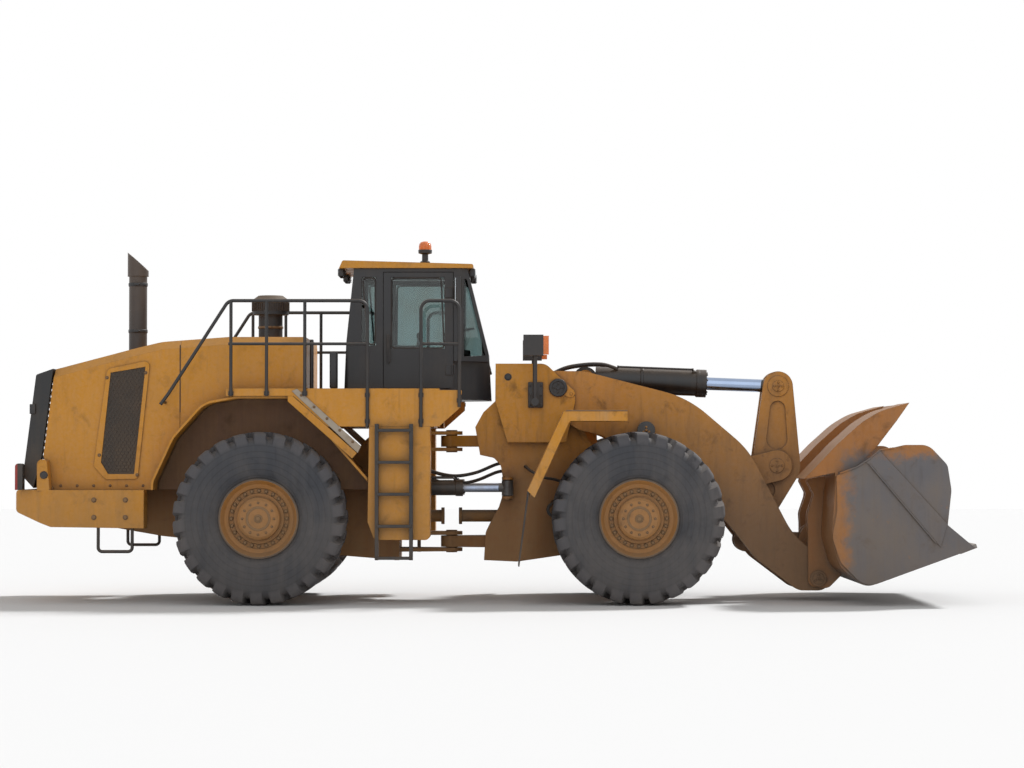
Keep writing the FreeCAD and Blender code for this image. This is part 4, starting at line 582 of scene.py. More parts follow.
# Behind the mesh the sheet is painted near black: painted shade of the cooling bay.
finish_nodes(weathered(
    "side_grille_paint_and_shade", lambda tree, spot: mix(
        tree, ramp(tree, calc(tree, "ABSOLUTE", part_of(tree, spot, "Y")), 1.1585, 1.160),
        linear(14, 13, 12), PAINT), 0.6, 0.4, 0.45), "side_grilles")

# Hood
# Two folded sheet steel panels over the engine, painted yellow outside and bolted along their feet;
# a rubber strip closes the seam between them.


def plate(outline, low, high):
    """A flat outline of distances along and up, carried across the machine from one side to another."""
    along, up = np.asarray(outline, float).T
    points = np.stack([np.stack([along, along * 0 + across, up], -1) for across in (low, high)], 1)
    count = len(along)
    caps = np.stack([np.arange(count) * 2, np.arange(count)[::-1] * 2 + 1])
    return points.reshape(-1, 3), [lattice(count, 2, wraps=True), caps]


def rounded_block(low, high, radius=0.012, rings=6):
    """A block between two corners with rounded edges: a sphere's grid whose halves move apart."""
    low, high = np.asarray(low, float), np.asarray(high, float)
    up = np.repeat(np.linspace(-90, 90, rings * 2), 1)
    round_way = np.concatenate([np.linspace(a, a + 90, rings) for a in (0, 90, 180, 270)])
    lift, turn = np.meshgrid(np.radians(up), np.radians(round_way), indexing="ij")
    ball = np.stack([np.cos(lift) * np.cos(turn), np.cos(lift) * np.sin(turn), np.sin(lift)], -1)
    quarter = np.radians(np.repeat([45, 135, 225, 315], rings))
    hand = np.stack([np.tile(np.sign(np.cos(quarter)), (rings * 2, 1)),
                     np.tile(np.sign(np.sin(quarter)), (rings * 2, 1)),
                     np.tile(np.where(np.arange(rings * 2) < rings, -1.0, 1.0)[:, None], (1, rings * 4))], -1)
    points = (low + high) / 2 + hand * ((high - low) / 2 - radius) + ball * radius
    faces = lattice(rings * 4, rings * 2, wraps=True)
    return points.transpose(1, 0, 2).reshape(-1, 3), [faces]


finish_nodes(yellow_paint, "hood")
foot_screws = at_side([(along, 1.43) for along in np.linspace(-5.22, -4.22, 6)], -1.150)
put("hood_screws", both_sides(screws(foot_screws, OUTWARD, 0.013, 0.011)), nut_look, "rear_half")
seam_strip = plate([(-3.780, 2.32), (-3.768, 2.32), (-3.768, 3.14), (-3.780, 3.14)], -1.1535, -1.146)
put("hood_seam_strip", both_sides(seam_strip), rubber_trim, "rear_half")

# Rear grille and counterweight
# The louvred door in the tail is black steel. The cast iron counterweight below it is yellow, bolted
# to the frame's tail, with a black lamp let into each post.
deep_black = weathered("deep_black", linear(19, 20, 23), 0.5, 0.2, 0.38)
finish_nodes(deep_black, "rear_grille")
finish_nodes(black_paint, "radiator", "engine_block")
casting = weathered("casting_paint", PAINT, 0.9, 0.55, 0.5, bump=0.5, deep=0.003)
finish_nodes(casting, "counterweight")
lamp_bowl = revolved((-5.385, -1.400, 1.560), OUTWARD,
                     [(0, 0.048), (0.010, 0.046), (0.014, 0.038), (0.009, 0.034), (0.011, 0.015), (0.012, 0)], 24)
put("post_lamps", both_sides(lamp_bowl), black_paint, "rear_half")
weight_bolts = at_side([(along, height) for along in (-4.40, -4.78) for height in (1.05, 1.26)], -1.400)
put("counterweight_bolts", both_sides(screws(weight_bolts, OUTWARD, 0.024, 0.020)), nut_look, "rear_half")
latch = rounded_block((-5.60, -1.166, 2.30), (-5.53, -1.130, 2.42), 0.008)
put("grille_latch", both_sides(latch), black_paint, "rear_half")
tail_housing = linear(26, 26, 28)
finish_nodes(weathered("tail_lamp_lens", lambda tree, spot: mix(
    tree, ramp(tree, part_of(tree, spot, "X"), -5.700, -5.712), tail_housing, linear(150, 22, 18)),
    0.0, 0.15, 0.22), "tail_lamps")

# Exhaust and air intake
# The stack is bare rolled steel, browned by heat, in black clamps; the intake beside it is a black
# moulded bowl with a slotted band that throws the coarse dust out, held on its neck by a clamp.
finish_nodes(weathered("heated_steel", lambda tree, spot: mix(
    tree, ramp(tree, part_of(tree, spot, "Z"), 2.9, 4.2), linear(44, 42, 43), linear(74, 62, 54)),
    0.4, 0.3, 0.45), "exhaust_stack")
STACK = (-4.398, -0.300)
INTAKE = (-2.773, 0.0)


def band(along, side, height, radius, width):
    """A clamp band round an upright tube, with rolled edges and its bolt's lug."""
    ring = revolved((along, side, height - width / 2), (0, 0, 1),
                    [(0, radius - 0.004), (0, radius + 0.004), (width * 0.2, radius + 0.008),
                     (width * 0.8, radius + 0.008), (width, radius + 0.004), (width, radius - 0.004)], 40)
    lug = rounded_block((along - 0.03, side - radius - 0.040, height - width * 0.35),
                        (along + 0.03, side - radius - 0.004, height + width * 0.35), 0.006)
    bolt = screws([(along + 0.030, side - radius - 0.024, height)], (1, 0, 0), 0.009, 0.012)
    return gathered(ring, lug, bolt)


put("exhaust_clamps", gathered(*[band(*STACK, height, 0.112, 0.045) for height in (3.34, 3.92)]),
    black_paint, "rear_half")
moulded = weathered("moulded_black", linear(40, 40, 43), 0.0, 0.45, 0.6)
finish_nodes(moulded, "air_precleaner")
FIN_RADIUS, FIN_HEIGHT, FIN_STEP = 0.2235, 3.66, 7.5
fin_points, fin_faces = plate([(0, -0.055), (0.014, -0.055), (0.014, 0.055), (0, 0.055)], -0.002, 0.002)
fins = []
for turn in np.radians(np.arange(0, 360, FIN_STEP)):
    ahead, aside = math.cos(turn), math.sin(turn)
    spun = fin_points @ np.array([[ahead, aside, 0], [-aside, ahead, 0], [0, 0, 1]])
    fins.append((spun + [INTAKE[0] + FIN_RADIUS * ahead, INTAKE[1] + FIN_RADIUS * aside, FIN_HEIGHT], fin_faces))
put("intake_fins", gathered(*fins), moulded, "rear_half")
put("intake_clamp", band(*INTAKE, 3.40, 0.151, 0.030), nut_look, "rear_half")

# Walkways, steps and rails
# The decks are yellow chequer plate on folded skirts. The ladders' rungs and the hanging steps are
# black, and the handrails are black tube, worn pale where hands run along them. A pale bar bolted to
# each rear fender's slope is a painted highlight of the fender's sunlit edge.
LOZENGE_WAVE = 130.0


def chequer(tree, spot):
    """Raised lozenges on what faces up: where two crossed rows of waves rise together."""
    apart = add(tree, "SeparateXYZ", {0: spot}).outputs
    one = calc(tree, "SINE", times(tree, calc(tree, "ADD", apart["X"], apart["Y"]), LOZENGE_WAVE))
    other = calc(tree, "SINE", times(tree, calc(tree, "SUBTRACT", apart["X"], apart["Y"]), LOZENGE_WAVE))
    lozenge = ramp(tree, times(tree, one, other), 0.25, 0.65)
    flat = ramp(tree, part_of(tree, add(tree, "NewGeometry").outputs["Normal"], "Z"), 0.85, 0.97)
    return times(tree, lozenge, flat, 1.6)


deck_look = weathered("deck_plate", PAINT, 0.9, 0.5, 0.42, bump=0.7, deep=0.003, relief=chequer)
finish_nodes(deck_look, "walkways", "cab_platform")
# Inboard of the tyres the fenders' walls are painted dark brown: painted shade in the wheel arches.
arch_paint_and_shade = weathered("arch_paint_and_shade", lambda tree, spot: mix(
    tree, ramp(tree, calc(tree, "ABSOLUTE", part_of(tree, spot, "Y")), 1.05, 0.95), PAINT, linear(104, 66, 30)),
    0.9, 0.55, 0.5)
finish_nodes(arch_paint_and_shade, "rear_fenders")
finish_nodes(yellow_paint, "side_tanks")
rail_look = weathered("rail_paint", linear(32, 32, 34), 0.75, 0.16, 0.40, grime_and_shade=linear(24, 20, 18))
finish_nodes(rail_look, "handrails", "ladders")
# The pale bar stands in for the sunlit edge of the fender: a painted highlight.
slope_highlight_bar = plate([(-2.395, 2.572), (-2.330, 2.600), (-1.560, 1.906), (-1.600, 1.826)], -1.462, -1.452)
pale = weathered("edge_highlight_bar", linear(158, 146, 130), 0.6, 0.5, 0.4, metal=0.25)
put("fender_highlight_bar", both_sides(slope_highlight_bar), pale, "rear_half")
bar_bolts = at_side([(along, 2.52 - (along + 2.28) * 0.903) for along in np.linspace(-2.28, -1.66, 5)], -1.462)
put("fender_bar_bolts", both_sides(screws(bar_bolts, OUTWARD, 0.013, 0.010)), nut_look, "rear_half")
box_back = rounded_block((-1.960, -1.16, 2.61), (-1.872, -0.90, 3.06), 0.02)
post_back = revolved((-2.190, -0.96, 2.600), (0, 0, 1),
                     [(0, 0.024), (0.60, 0.024), (0.612, 0.018), (0.612, 0)], 16)
put("deck_box", gathered(box_back, post_back), black_paint, "rear_half")

# Cab
# A welded steel cell painted black, with tinted safety glass bonded in and rubber seals round it.
# Inside are the sprung seat, its lever consoles and a dash; the roof above is yellow.
finish_nodes(black_paint, "cab_shell", "cab_door_right", "cab_door_left", "mirrors", "steering_column")
finish_nodes(yellow_paint, "cab_roof")


def glazing(name, tint, streaks):
    """Tinted glass with a film of dust in smears."""
    look = bpy.data.materials.new(name)
    tree = tree_of(look)
    spot = add(tree, "TexCoord").outputs["Object"]
    smears = ramp(tree, noise(tree, add(tree, "Mapping", {0: spot, "Scale": (3.0, 3.0, 1.0)}).outputs[0],
                              1.5, 7.0, 0.65), 0.42, 0.85)
    film = times(tree, smears, streaks)
    shader = add(tree, "BsdfPrincipled", {
        "Base Color": mix(tree, film, tint, linear(150, 140, 124)),
        "Roughness": calc(tree, "ADD", 0.02, times(tree, film, 0.5)),
        "Transmission Weight": 1.0, "IOR": 1.45})
    add(tree, "OutputMaterial", {0: shader.outputs[0]})
    return look


glass = glazing("cab_glass", linear(150, 168, 168), 0.5)
finish_nodes(glass, "cab_glass", "door_glass_right", "door_glass_left")


def tube(path, radius, sides=10):
    """A round tube carried along a path, closed at both ends."""
    path = np.asarray(path, float)
    tangent = np.gradient(path, axis=0)
    tangent /= np.linalg.norm(tangent, axis=1)[:, None]
    span = path.max(0) - path.min(0)
    one = np.cross(tangent, np.eye(3)[np.argmin(span)])
    one /= np.linalg.norm(one, axis=1)[:, None]
    other = np.cross(tangent, one)
    turn = (np.arange(sides) / sides * 2 * math.pi)[:, None, None]
    points = path[None] + radius * (np.cos(turn) * one[None] + np.sin(turn) * other[None])
    ends = np.arange(sides) * len(path)
    return points.reshape(-1, 3), [lattice(sides, len(path), wraps=True),
                                   np.stack([ends, ends[::-1] + len(path) - 1])]


def curved(stops, steps=10):
    """A path through the stops, each stretch a cubic whose slopes are the stops' own differences."""
    stops = np.asarray(stops, float)
    slope = np.gradient(stops, axis=0)
    share = np.linspace(0, 1, steps, endpoint=False)[None, :, None]
    square, cube = share ** 2, share ** 3
    body = ((2 * cube - 3 * square + 1) * stops[:-1, None] + (cube - 2 * square + share) * slope[:-1, None]
            + (3 * square - 2 * cube) * stops[1:, None] + (cube - square) * slope[1:, None])
    return np.concatenate([body.reshape(-1, 3), stops[-1:]])


CORNER_CUT = 0.045


def seal(corners, radius=0.010):
    """A rubber bead round a pane: straight runs whose corners are turned in five short steps."""
    corners = np.asarray(corners, float)
    back, on = np.roll(corners, 1, 0) - corners, np.roll(corners, -1, 0) - corners
    back /= np.linalg.norm(back, axis=1)[:, None]
    on /= np.linalg.norm(on, axis=1)[:, None]
    share = np.linspace(0, 1, 5)[None, :, None]
    bends = corners[:, None] + CORNER_CUT * ((1 - share) ** 2 * back[:, None] + share ** 2 * on[:, None])
    path = bends.reshape(-1, 3)
    tangent = np.roll(path, -1, 0) - np.roll(path, 1, 0)
    tangent /= np.linalg.norm(tangent, axis=1)[:, None]
    face = np.cross(corners[1] - corners[0], corners[2] - corners[1])
    face /= np.linalg.norm(face)
    one = np.cross(tangent, face)
    one /= np.linalg.norm(one, axis=1)[:, None]
    turn = (np.arange(8) / 8 * 2 * math.pi)[None, :, None]
    points = path[:, None] + radius * (np.cos(turn) * one[:, None] + np.sin(turn) * face)
    ring = np.concatenate([points, points[:, :1]], 1)
    return ring.reshape(-1, 3), [lattice(len(path), 9, wraps=True)]


GLASS_SIDE = 0.834
DOOR_PANE = [(-1.215, 3.972), (-0.612, 3.972), (-0.575, 3.112), (-1.222, 3.112)]
QUARTER_PANE = [(-1.575, 3.970), (-1.420, 3.970), (-1.420, 3.156), (-1.505, 3.156)]
MIRROR_OUTLINE = [(-0.436, 3.640), (-0.4275, 3.640), (-0.4275, 3.960), (-0.436, 3.960)]
GRIP_ALONG, GRIP_RADIUS = -1.262, 0.011
HINGE_BARREL = [(0, 0), (0, 0.016), (0.11, 0.016), (0.11, 0)]
for hand, side in (("right", -1), ("left", 1)):
    put(f"door_seal_{hand}", seal(at_side(DOOR_PANE, side * GLASS_SIDE)), rubber_trim, f"{hand}_door")
    put(f"quarter_seal_{hand}", seal(at_side(QUARTER_PANE, side * GLASS_SIDE)), rubber_trim, "rear_half")
    grip_stops = [(GRIP_ALONG, side * reach, height) for reach, height in (
        (0.900, 2.92), (0.905, 2.96), (0.905, 3.10), (0.905, 3.24), (0.900, 3.28))]
    hinges = gathered(*[revolved((-0.452, side * 0.838, height), (0, 0, 1), HINGE_BARREL, 14)
                        for height in (2.80, 3.80)])
    put(f"door_grip_cover_{hand}", tube(curved(grip_stops, 6), GRIP_RADIUS), rubber_trim, f"{hand}_door")
    put(f"door_hinges_{hand}", hinges, black_paint, "rear_half")
    silver = weathered(f"mirror_silver_{hand}", linear(196, 204, 210), 0.0, 0.2, 0.04, metal=1.0)
    put(f"mirror_glass_{hand}", plate(MIRROR_OUTLINE, side * 1.085, side * 0.900), silver, "rear_half")
wiper_arm = tube(curved([(-0.010, -0.10, 2.86), (-0.075, -0.12, 3.10), (-0.175, -0.22, 3.50),
                         (-0.196, -0.24, 3.58)]), 0.008)
wiper_blade = tube([(-0.098, -0.25, 3.20), (-0.186, -0.24, 3.55), (-0.272, -0.23, 3.90)], 0.010, 6)
wiper_hub = revolved((0.002, -0.10, 2.84), (-1, 0, -0.25), [(0, 0), (0, 0.030), (0.05, 0.034), (0.06, 0)], 16)
put("windshield_wiper", gathered(wiper_arm, wiper_blade, wiper_hub), black_paint, "rear_half")

cloth = weathered("seat_cloth", linear(58, 56, 58), 0.0, 0.35, 0.85, dust=linear(120, 108, 94), bump=0.6,
                  relief=lambda tree, spot: noise(tree, spot, 260.0, 2.0))


def crowned(centre, size, lean=0.0, square=0.42, crown=0.35):
    """A stuffed pad: a superellipsoid over two angles, crowned on top and leaning about its foot."""
    up, turn = np.meshgrid(np.linspace(-math.pi / 2, math.pi / 2, 21), np.arange(40) / 40 * 2 * math.pi,
                           indexing="ij")

    def bent(value, power):
        return np.sign(value) * np.abs(value) ** power

    ball = np.stack([bent(np.cos(up), square) * bent(np.cos(turn), square),
                     bent(np.cos(up), square) * bent(np.sin(turn), square), bent(np.sin(up), 0.7)], -1)
    ball[..., 2] *= 1 - crown * (ball[..., 0] ** 2 + ball[..., 1] ** 2) / 2
    points = ball * np.asarray(size) / 2
    tilt = math.radians(lean)
    tipped = np.stack([points[..., 0] * math.cos(tilt) + points[..., 2] * math.sin(tilt), points[..., 1],
                       points[..., 2] * math.cos(tilt) - points[..., 0] * math.sin(tilt)], -1)
    return (tipped + np.asarray(centre)).transpose(1, 0, 2).reshape(-1, 3), [lattice(40, 21, wraps=True)]


for name, shape in (
        ("seat_cushion", crowned((-1.06, 0, 3.02), (0.52, 0.50, 0.16))),
        ("seat_back", crowned((-1.345, 0, 3.36), (0.72, 0.48, 0.14), 82)),
        ("seat_headrest", crowned((-1.395, 0, 3.71), (0.14, 0.28, 0.10), 82))):
    pad = put(name, shape, cloth, "rear_half", 80, ["driver_seat"] if name == "seat_cushion" else ())
finish_nodes(cloth, "driver_seat")
folds = [(0.03 + 0.34 * share, 0.17 + 0.02 * (index % 2)) for index, share in enumerate(np.linspace(0, 1, 9))]
bellows = revolved((-1.06, 0, 2.54), (0, 0, 1), [(0, 0), (0, 0.20), *folds, (0.38, 0)], 28)
consoles = gathered(rounded_block((-1.30, -0.42, 2.80), (-0.86, -0.29, 3.16), 0.025),
                    rounded_block((-1.30, 0.29, 2.80), (-0.86, 0.42, 3.16), 0.025),
                    rounded_block((-0.46, -0.50, 2.90), (-0.26, -0.30, 3.10), 0.02))
STICK = [(0, 0.030), (0.02, 0.012), (0.09, 0.010), (0.11, 0.026), (0.16, 0.028), (0.18, 0)]
sticks = gathered(*[revolved((-0.92, side * 0.355, 3.15), (0.15, 0, 1), STICK, 16) for side in (-1, 1)])
put("seat_base_and_consoles", gathered(bellows, consoles, sticks), moulded, "rear_half", 40)

# Lamps and beacon
# Black housings with ribbed polycarbonate lenses: amber on the beacon and the turn lamps, clear on
# the work lamps under the roof's edges.


def lens(name, colour, glow):
    """Ribbed plastic, lit faintly from inside."""
    look = bpy.data.materials.new(name)
    tree = tree_of(look)
    spot = add(tree, "TexCoord").outputs["Object"]
    ribs = calc(tree, "SINE", times(tree, part_of(tree, spot, "Z"), 420.0))
    dusty = times(tree, ramp(tree, noise(tree, spot, 9.0, 6.0), 0.45, 0.8), 0.45)
    bumped = add(tree, "Bump", {"Strength": 0.5, "Distance": 0.003, "Height": ribs})
    shader = add(tree, "BsdfPrincipled", {
        "Base Color": mix(tree, dusty, colour, DUST), "Roughness": calc(tree, "ADD", 0.12, dusty),
        "Emission Color": mix(tree, dusty, colour, (0, 0, 0, 1)), "Emission Strength": glow,
        "Coat Weight": 0.4, "Normal": bumped.outputs[0]})
    add(tree, "OutputMaterial", {0: shader.outputs[0]})
    return look


amber = lens("amber_lens", linear(226, 112, 12), 0.06)
clear = lens("clear_lens", linear(188, 194, 196), 0.0)
finish_nodes(amber, "turn_lamps")
finish_nodes(black_paint, "headlamps")
BEACON = (-0.825, -0.300)
beacon_lens = revolved((*BEACON, 4.352), (0, 0, 1), [
    (0, 0.070), (0.006, 0.078), (0.050, 0.077), (0.080, 0.070), (0.098, 0.054), (0.108, 0.030), (0.112, 0)], 72,
    lambda turn: 1 + 0.022 * np.cos(turn * 18))
beacon_base = revolved((*BEACON, 4.188), (0, 0, 1), [
    (0, 0), (0, 0.060), (0.020, 0.062), (0.030, 0.040), (0.110, 0.038), (0.125, 0.084), (0.165, 0.086),
    (0.170, 0.078), (0.172, 0)], 36)
finish_nodes(amber, "beacon")
put("beacon_lens", beacon_lens, amber, "rear_half", 30, ["beacon"])
put("beacon_base", beacon_base, black_paint, "rear_half")


def block_about(centre, half, radius, rings=6):
    """A rounded block about its middle, from its half length, width and height."""
    return rounded_block(np.subtract(centre, half), np.add(centre, half), radius, rings)


def work_lamp(centre, way):
    """A square work lamp's housing with cooling ribs, and its lens, facing along X."""
    along, side, height = centre
    body = block_about(centre, (0.035, 0.062, 0.05), 0.014)
    ribs = gathered(*[block_about((along - way * 0.036, side, height + lift), (0.012, 0.05, 0.004), 0.003, 3)
                      for lift in (-0.03, -0.01, 0.01, 0.03)])
    return gathered(body, ribs), block_about((along + way * 0.034, side, height), (0.006, 0.052, 0.04), 0.005)


LAMP_HEIGHT = 4.046
lamps = [work_lamp((along, side * place, LAMP_HEIGHT), way) for along, way in ((-0.232, 1), (-1.846, -1))
         for side in (-1, 1) for place in (0.42, 0.70)]
housings, faces = zip(*lamps)
put("work_lamp_housings", gathered(*housings), black_paint, "rear_half")
put("work_lamp_lenses", gathered(*faces), clear, "rear_half")

# Front frame and fenders
# Thick welded plates in yellow, with a weld bead along each joint that shows, bolted pin caps, and
# sheet fenders that carry rubber flaps in bolted clamping strips.
BOOM_PIVOT = (0.826, 2.631)
LIFT_BASE = (0.775, 1.131)
TOWER_SIDE = -0.590
WELD_STEP = 0.011
# The frames' colour turns darker towards the bottom.
finish_nodes(weathered("frame_paint", lambda tree, spot: mix(
    tree, ramp(tree, part_of(tree, spot, "Z"), 2.25, 1.35), PAINT, linear(138, 90, 38)),
    0.9, 0.7, 0.5), "front_frame", "rear_frame")
finish_nodes(weathered("fender_paint", PAINT, 0.9, 0.85, 0.5, dust=linear(176, 148, 116)), "front_fenders")
finish_nodes(rubber_trim, "mud_flaps")
axle_look = weathered("axle_paint", linear(150, 104, 46), 0.6, 0.85, 0.55, dust=linear(130, 110, 88))
finish_nodes(axle_look, "front_axle", "rear_axle", "front_driveshaft", "rear_driveshaft", "transmission")


def weld(path, radius=0.009):
    """A weld bead: a tube whose radius ripples with each pass of the rod."""
    path = np.asarray(path, float)
    counts = np.maximum(np.linalg.norm(np.diff(path, axis=0), axis=1) / WELD_STEP, 2).astype(int)
    runs = np.concatenate([np.linspace(one, other, count, endpoint=False)
                           for one, other, count in zip(path[:-1], path[1:], counts)])
    points, faces = tube(runs, 1.0, 6)
    grid = points.reshape(6, len(runs), 3)
    ripple = radius * (1 + 0.16 * np.sin(np.arange(len(runs)) * 2.1))
    return (runs[None] + (grid - runs[None]) * ripple[None, :, None]).reshape(-1, 3), faces


def pin_at(pin, side):
    """The point where a pin, given along and up, meets one side."""
    return np.array([pin[0], side, pin[1]])


def ring_weld(centre, axis, ring_radius, count, radius=0.009):
    """A weld bead all round a circle."""
    ring = circle(centre, axis, ring_radius, count)
    return weld(np.concatenate([ring, ring[:1]]), radius)


tower_foot = weld([(0.202, -0.550, 1.962), (0.922, -0.550, 1.962)])
axle_weld = ring_weld(pin_at((FRONT_AXLE, TYRE_RADIUS), -0.432), OUTWARD, 0.196, 48)
put("front_frame_welds", both_sides(gathered(tower_foot, axle_weld)), yellow_paint, "front_half", 60)
pivot_cap = revolved(pin_at(BOOM_PIVOT, -0.612), OUTWARD, [
    (0, 0.112), (0.012, 0.112), (0.018, 0.104), (0.018, 0.078), (0.008, 0.074), (0.008, 0.030), (0.016, 0.026),
    (0.016, 0)], 40)
pivot_bolts = screws(circle(pin_at(BOOM_PIVOT, -0.620), OUTWARD, 0.052, 4), OUTWARD, 0.012, 0.010)
put("boom_pivot_caps", both_sides(gathered(pivot_cap, pivot_bolts)), black_paint, "front_half")
keeper = plate([(0.920, 2.690), (1.020, 2.600), (1.036, 2.556), (1.010, 2.518), (0.960, 2.512), (0.885, 2.545)],
               -0.604, -0.589)
keeper_bolt = screws([(0.988, -0.604, 2.556)], OUTWARD, 0.016, 0.014)
put("boom_pivot_keepers", both_sides(gathered(keeper, keeper_bolt)), yellow_paint, "front_half")
tower_bolt = screws([(0.208, TOWER_SIDE, 2.765)], OUTWARD, 0.034, 0.018)
put("tower_bolts", both_sides(tower_bolt), black_paint, "front_half")
lift_caps = screws(circle(pin_at(LIFT_BASE, -0.792), OUTWARD, 0.034, 3), OUTWARD, 0.012, 0.010)
lamp_foot = rounded_block((0.455, -0.622, 2.385), (0.640, -0.588, 2.700), 0.010)
foot_bolts = screws(at_side([(along, height) for along in (0.48, 0.615) for height in (2.42, 2.54, 2.66)],
                            -0.622), OUTWARD, 0.014, 0.012)
put("lamp_feet", both_sides(gathered(lamp_foot, foot_bolts)), black_paint, "front_half")
put("lift_pin_screws", both_sides(lift_caps), nut_look, "front_half")
flap_clamp = plate([(0.478, 1.392), (0.490, 1.392), (0.478, 1.300), (0.466, 1.300)], -1.690, -0.880)
flap_spots = [(0.468, -side, 1.345) for side in np.linspace(0.95, 1.62, 6)]
fender_edge = tube([(1.640, -1.702, 2.332), (0.905, -1.702, 2.332)], 0.007, 6)
put("fender_trim", both_sides(gathered(flap_clamp, screws(flap_spots, (-1, 0, -0.1), 0.012, 0.012), fender_edge)),
    nut_look, "front_half")

# Boom, lever and link
# Two deep yellow plates joined by a cross tube, the tilt lever between them, and hardened pins held
# by round caps with three or four screws each. The arm's colour turns darker and greyer brown towards its foot.
BUCKET_PIN = (4.030, 0.282)
LEVER_PIN = (3.555, 1.670)
LEVER_TOP = (3.579, 2.662)
LIFT_EYE = (1.905, 2.105)
CROSS_TUBE = (2.946, 1.521)
arm_look = weathered(
    "arm_paint", lambda tree, spot: mix(tree, times(tree, ramp(tree, part_of(tree, spot, "Z"), 2.7, 0.7), 0.7),
                                        linear(190, 128, 44), linear(112, 90, 74)),
    1.0, 0.7, 0.45, dust=linear(124, 102, 80))
finish_nodes(arm_look, "boom", "tilt_lever", "tilt_link")


def cap_screws(pin, side, ring, count):
    """Screws round a pin's cap on both sides of the machine, with a raised middle."""
    centre = pin_at(pin, -side)
    head = screws(circle(centre, OUTWARD, ring, count), OUTWARD, 0.012, 0.011)
    boss = revolved(centre, OUTWARD, [(0, ring * 0.5), (0.006, ring * 0.46), (0.006, 0.012), (0.020, 0.010),
                                      (0.020, 0)], 24)
    return both_sides(gathered(head, boss))


put("boom_pin_screws", gathered(cap_screws(BUCKET_PIN, 0.630, 0.045, 3), cap_screws(LIFT_EYE, 0.773, 0.040, 3),
                                cap_screws(LEVER_PIN, 0.269, 0.062, 4)), arm_look, "lift_arm")
put("lever_pin_screws", cap_screws(LEVER_TOP, 0.201, 0.046, 4), arm_look, "lever")
eye_weld = ring_weld(pin_at(LIFT_EYE, -0.541), OUTWARD, 0.100, 36)
tube_weld = ring_weld(pin_at(CROSS_TUBE, -0.439), (0, 1, 0), 0.154, 40, 0.011)
put("boom_welds", both_sides(gathered(eye_weld, tube_weld)), arm_look, "lift_arm", 60)

# Cylinders
# Seamless steel tubes painted black, each with a bolted gland at its mouth and a steel pipe along it,
# and a hard chromed rod with a black painted eye.
TILT_BASE = (1.173, 2.755)
STEER_BASE, STEER_EYE = (-1.348, 1.395), (0.202, 1.395)
LIFT_SIDE, STEER_SIDE = 0.7, 0.6
finish_nodes(deep_black, "tilt_barrel", "lift_barrel_right", "lift_barrel_left", "steering_barrel_right",
             "steering_barrel_left")


def past_eye(eye, radius):
    """A mask that is 0 round a rod's eye and 1 along the rod, on both sides of the machine."""
    def mask(tree, spot):
        apart = add(tree, "SeparateXYZ", {0: spot}).outputs
        along = calc(tree, "POWER", calc(tree, "SUBTRACT", apart["X"], eye[0]), 2.0)
        high = calc(tree, "POWER", calc(tree, "SUBTRACT", apart["Z"], eye[1]), 2.0)
        return ramp(tree, calc(tree, "SQRT", calc(tree, "ADD", along, high)), radius, radius + 0.006)
    return mask


def rod_look(name, eye, radius, dirt, shine):
    """Chrome on the rod, tinted blue as a painted reflection of sky, and black paint on its eye."""
    bare_rod = past_eye(eye, radius)
    # The rod's pale blue colour is a painted reflection of sky.
    return weathered(
        name, lambda tree, spot: mix(tree, bare_rod(tree, spot), linear(36, 35, 36), linear(150, 166, 192)),
        0.0, dirt, shine, dust=linear(150, 144, 138), metal=bare_rod, bump=0.08)


finish_nodes(rod_look("tilt_chrome", LEVER_TOP, 0.205, 0.06, 0.16), "tilt_rod")
finish_nodes(rod_look("lift_chrome", LIFT_EYE, 0.125, 0.2, 0.2), "lift_rod_right", "lift_rod_left")
finish_nodes(rod_look("steering_chrome", STEER_EYE, 0.110, 0.75, 0.3), "steering_rod_right",
             "steering_rod_left")


def cylinder_dress(base, eye, mouth, radius, pipe_way):
    """A gland's ring of screws and two collars, and a pipe with its unions along the barrel."""
    way = (eye - base) / np.linalg.norm(eye - base)
    lift = np.asarray(pipe_way, float) - np.dot(pipe_way, way) * way
    lift /= np.linalg.norm(lift)
    face = base + way * mouth
    ring = screws(circle(face, way, radius * 0.82, 10), way, radius * 0.075, radius * 0.09)
    collars = []
    for back, wide in ((0.02 + radius * 0.7, radius * 0.35), (radius * 5.2, radius * 0.25)):
        rolled = np.array([(0, 0.98), (0, 1.05), (0.2, 1.09), (0.8, 1.09), (1, 1.05), (1, 0.98)]) * [wide, radius]
        collars.append(revolved(base + way * (mouth - back), way, rolled, 36))
    start, end = base + way * radius * 2.4, face - way * radius
    root, off = lift * radius * 0.9, lift * (radius + 0.035)
    stops = np.stack([start + root, start + off + way * 0.03, start + off + way * 0.09,
                      end + off - way * 0.09, end + off - way * 0.03, end + root])
    pipe = tube(curved(stops, 8), 0.013)
    union = [(0, 0), (0, 0.028), (0.022, 0.028), (0.022, 0.02), (0.03, 0.02), (0.03, 0)]
    unions = [revolved(spot + lift * radius * 0.92, lift, union, 6) for spot in (start, end)]
    return gathered(ring, pipe, *collars, *unions)


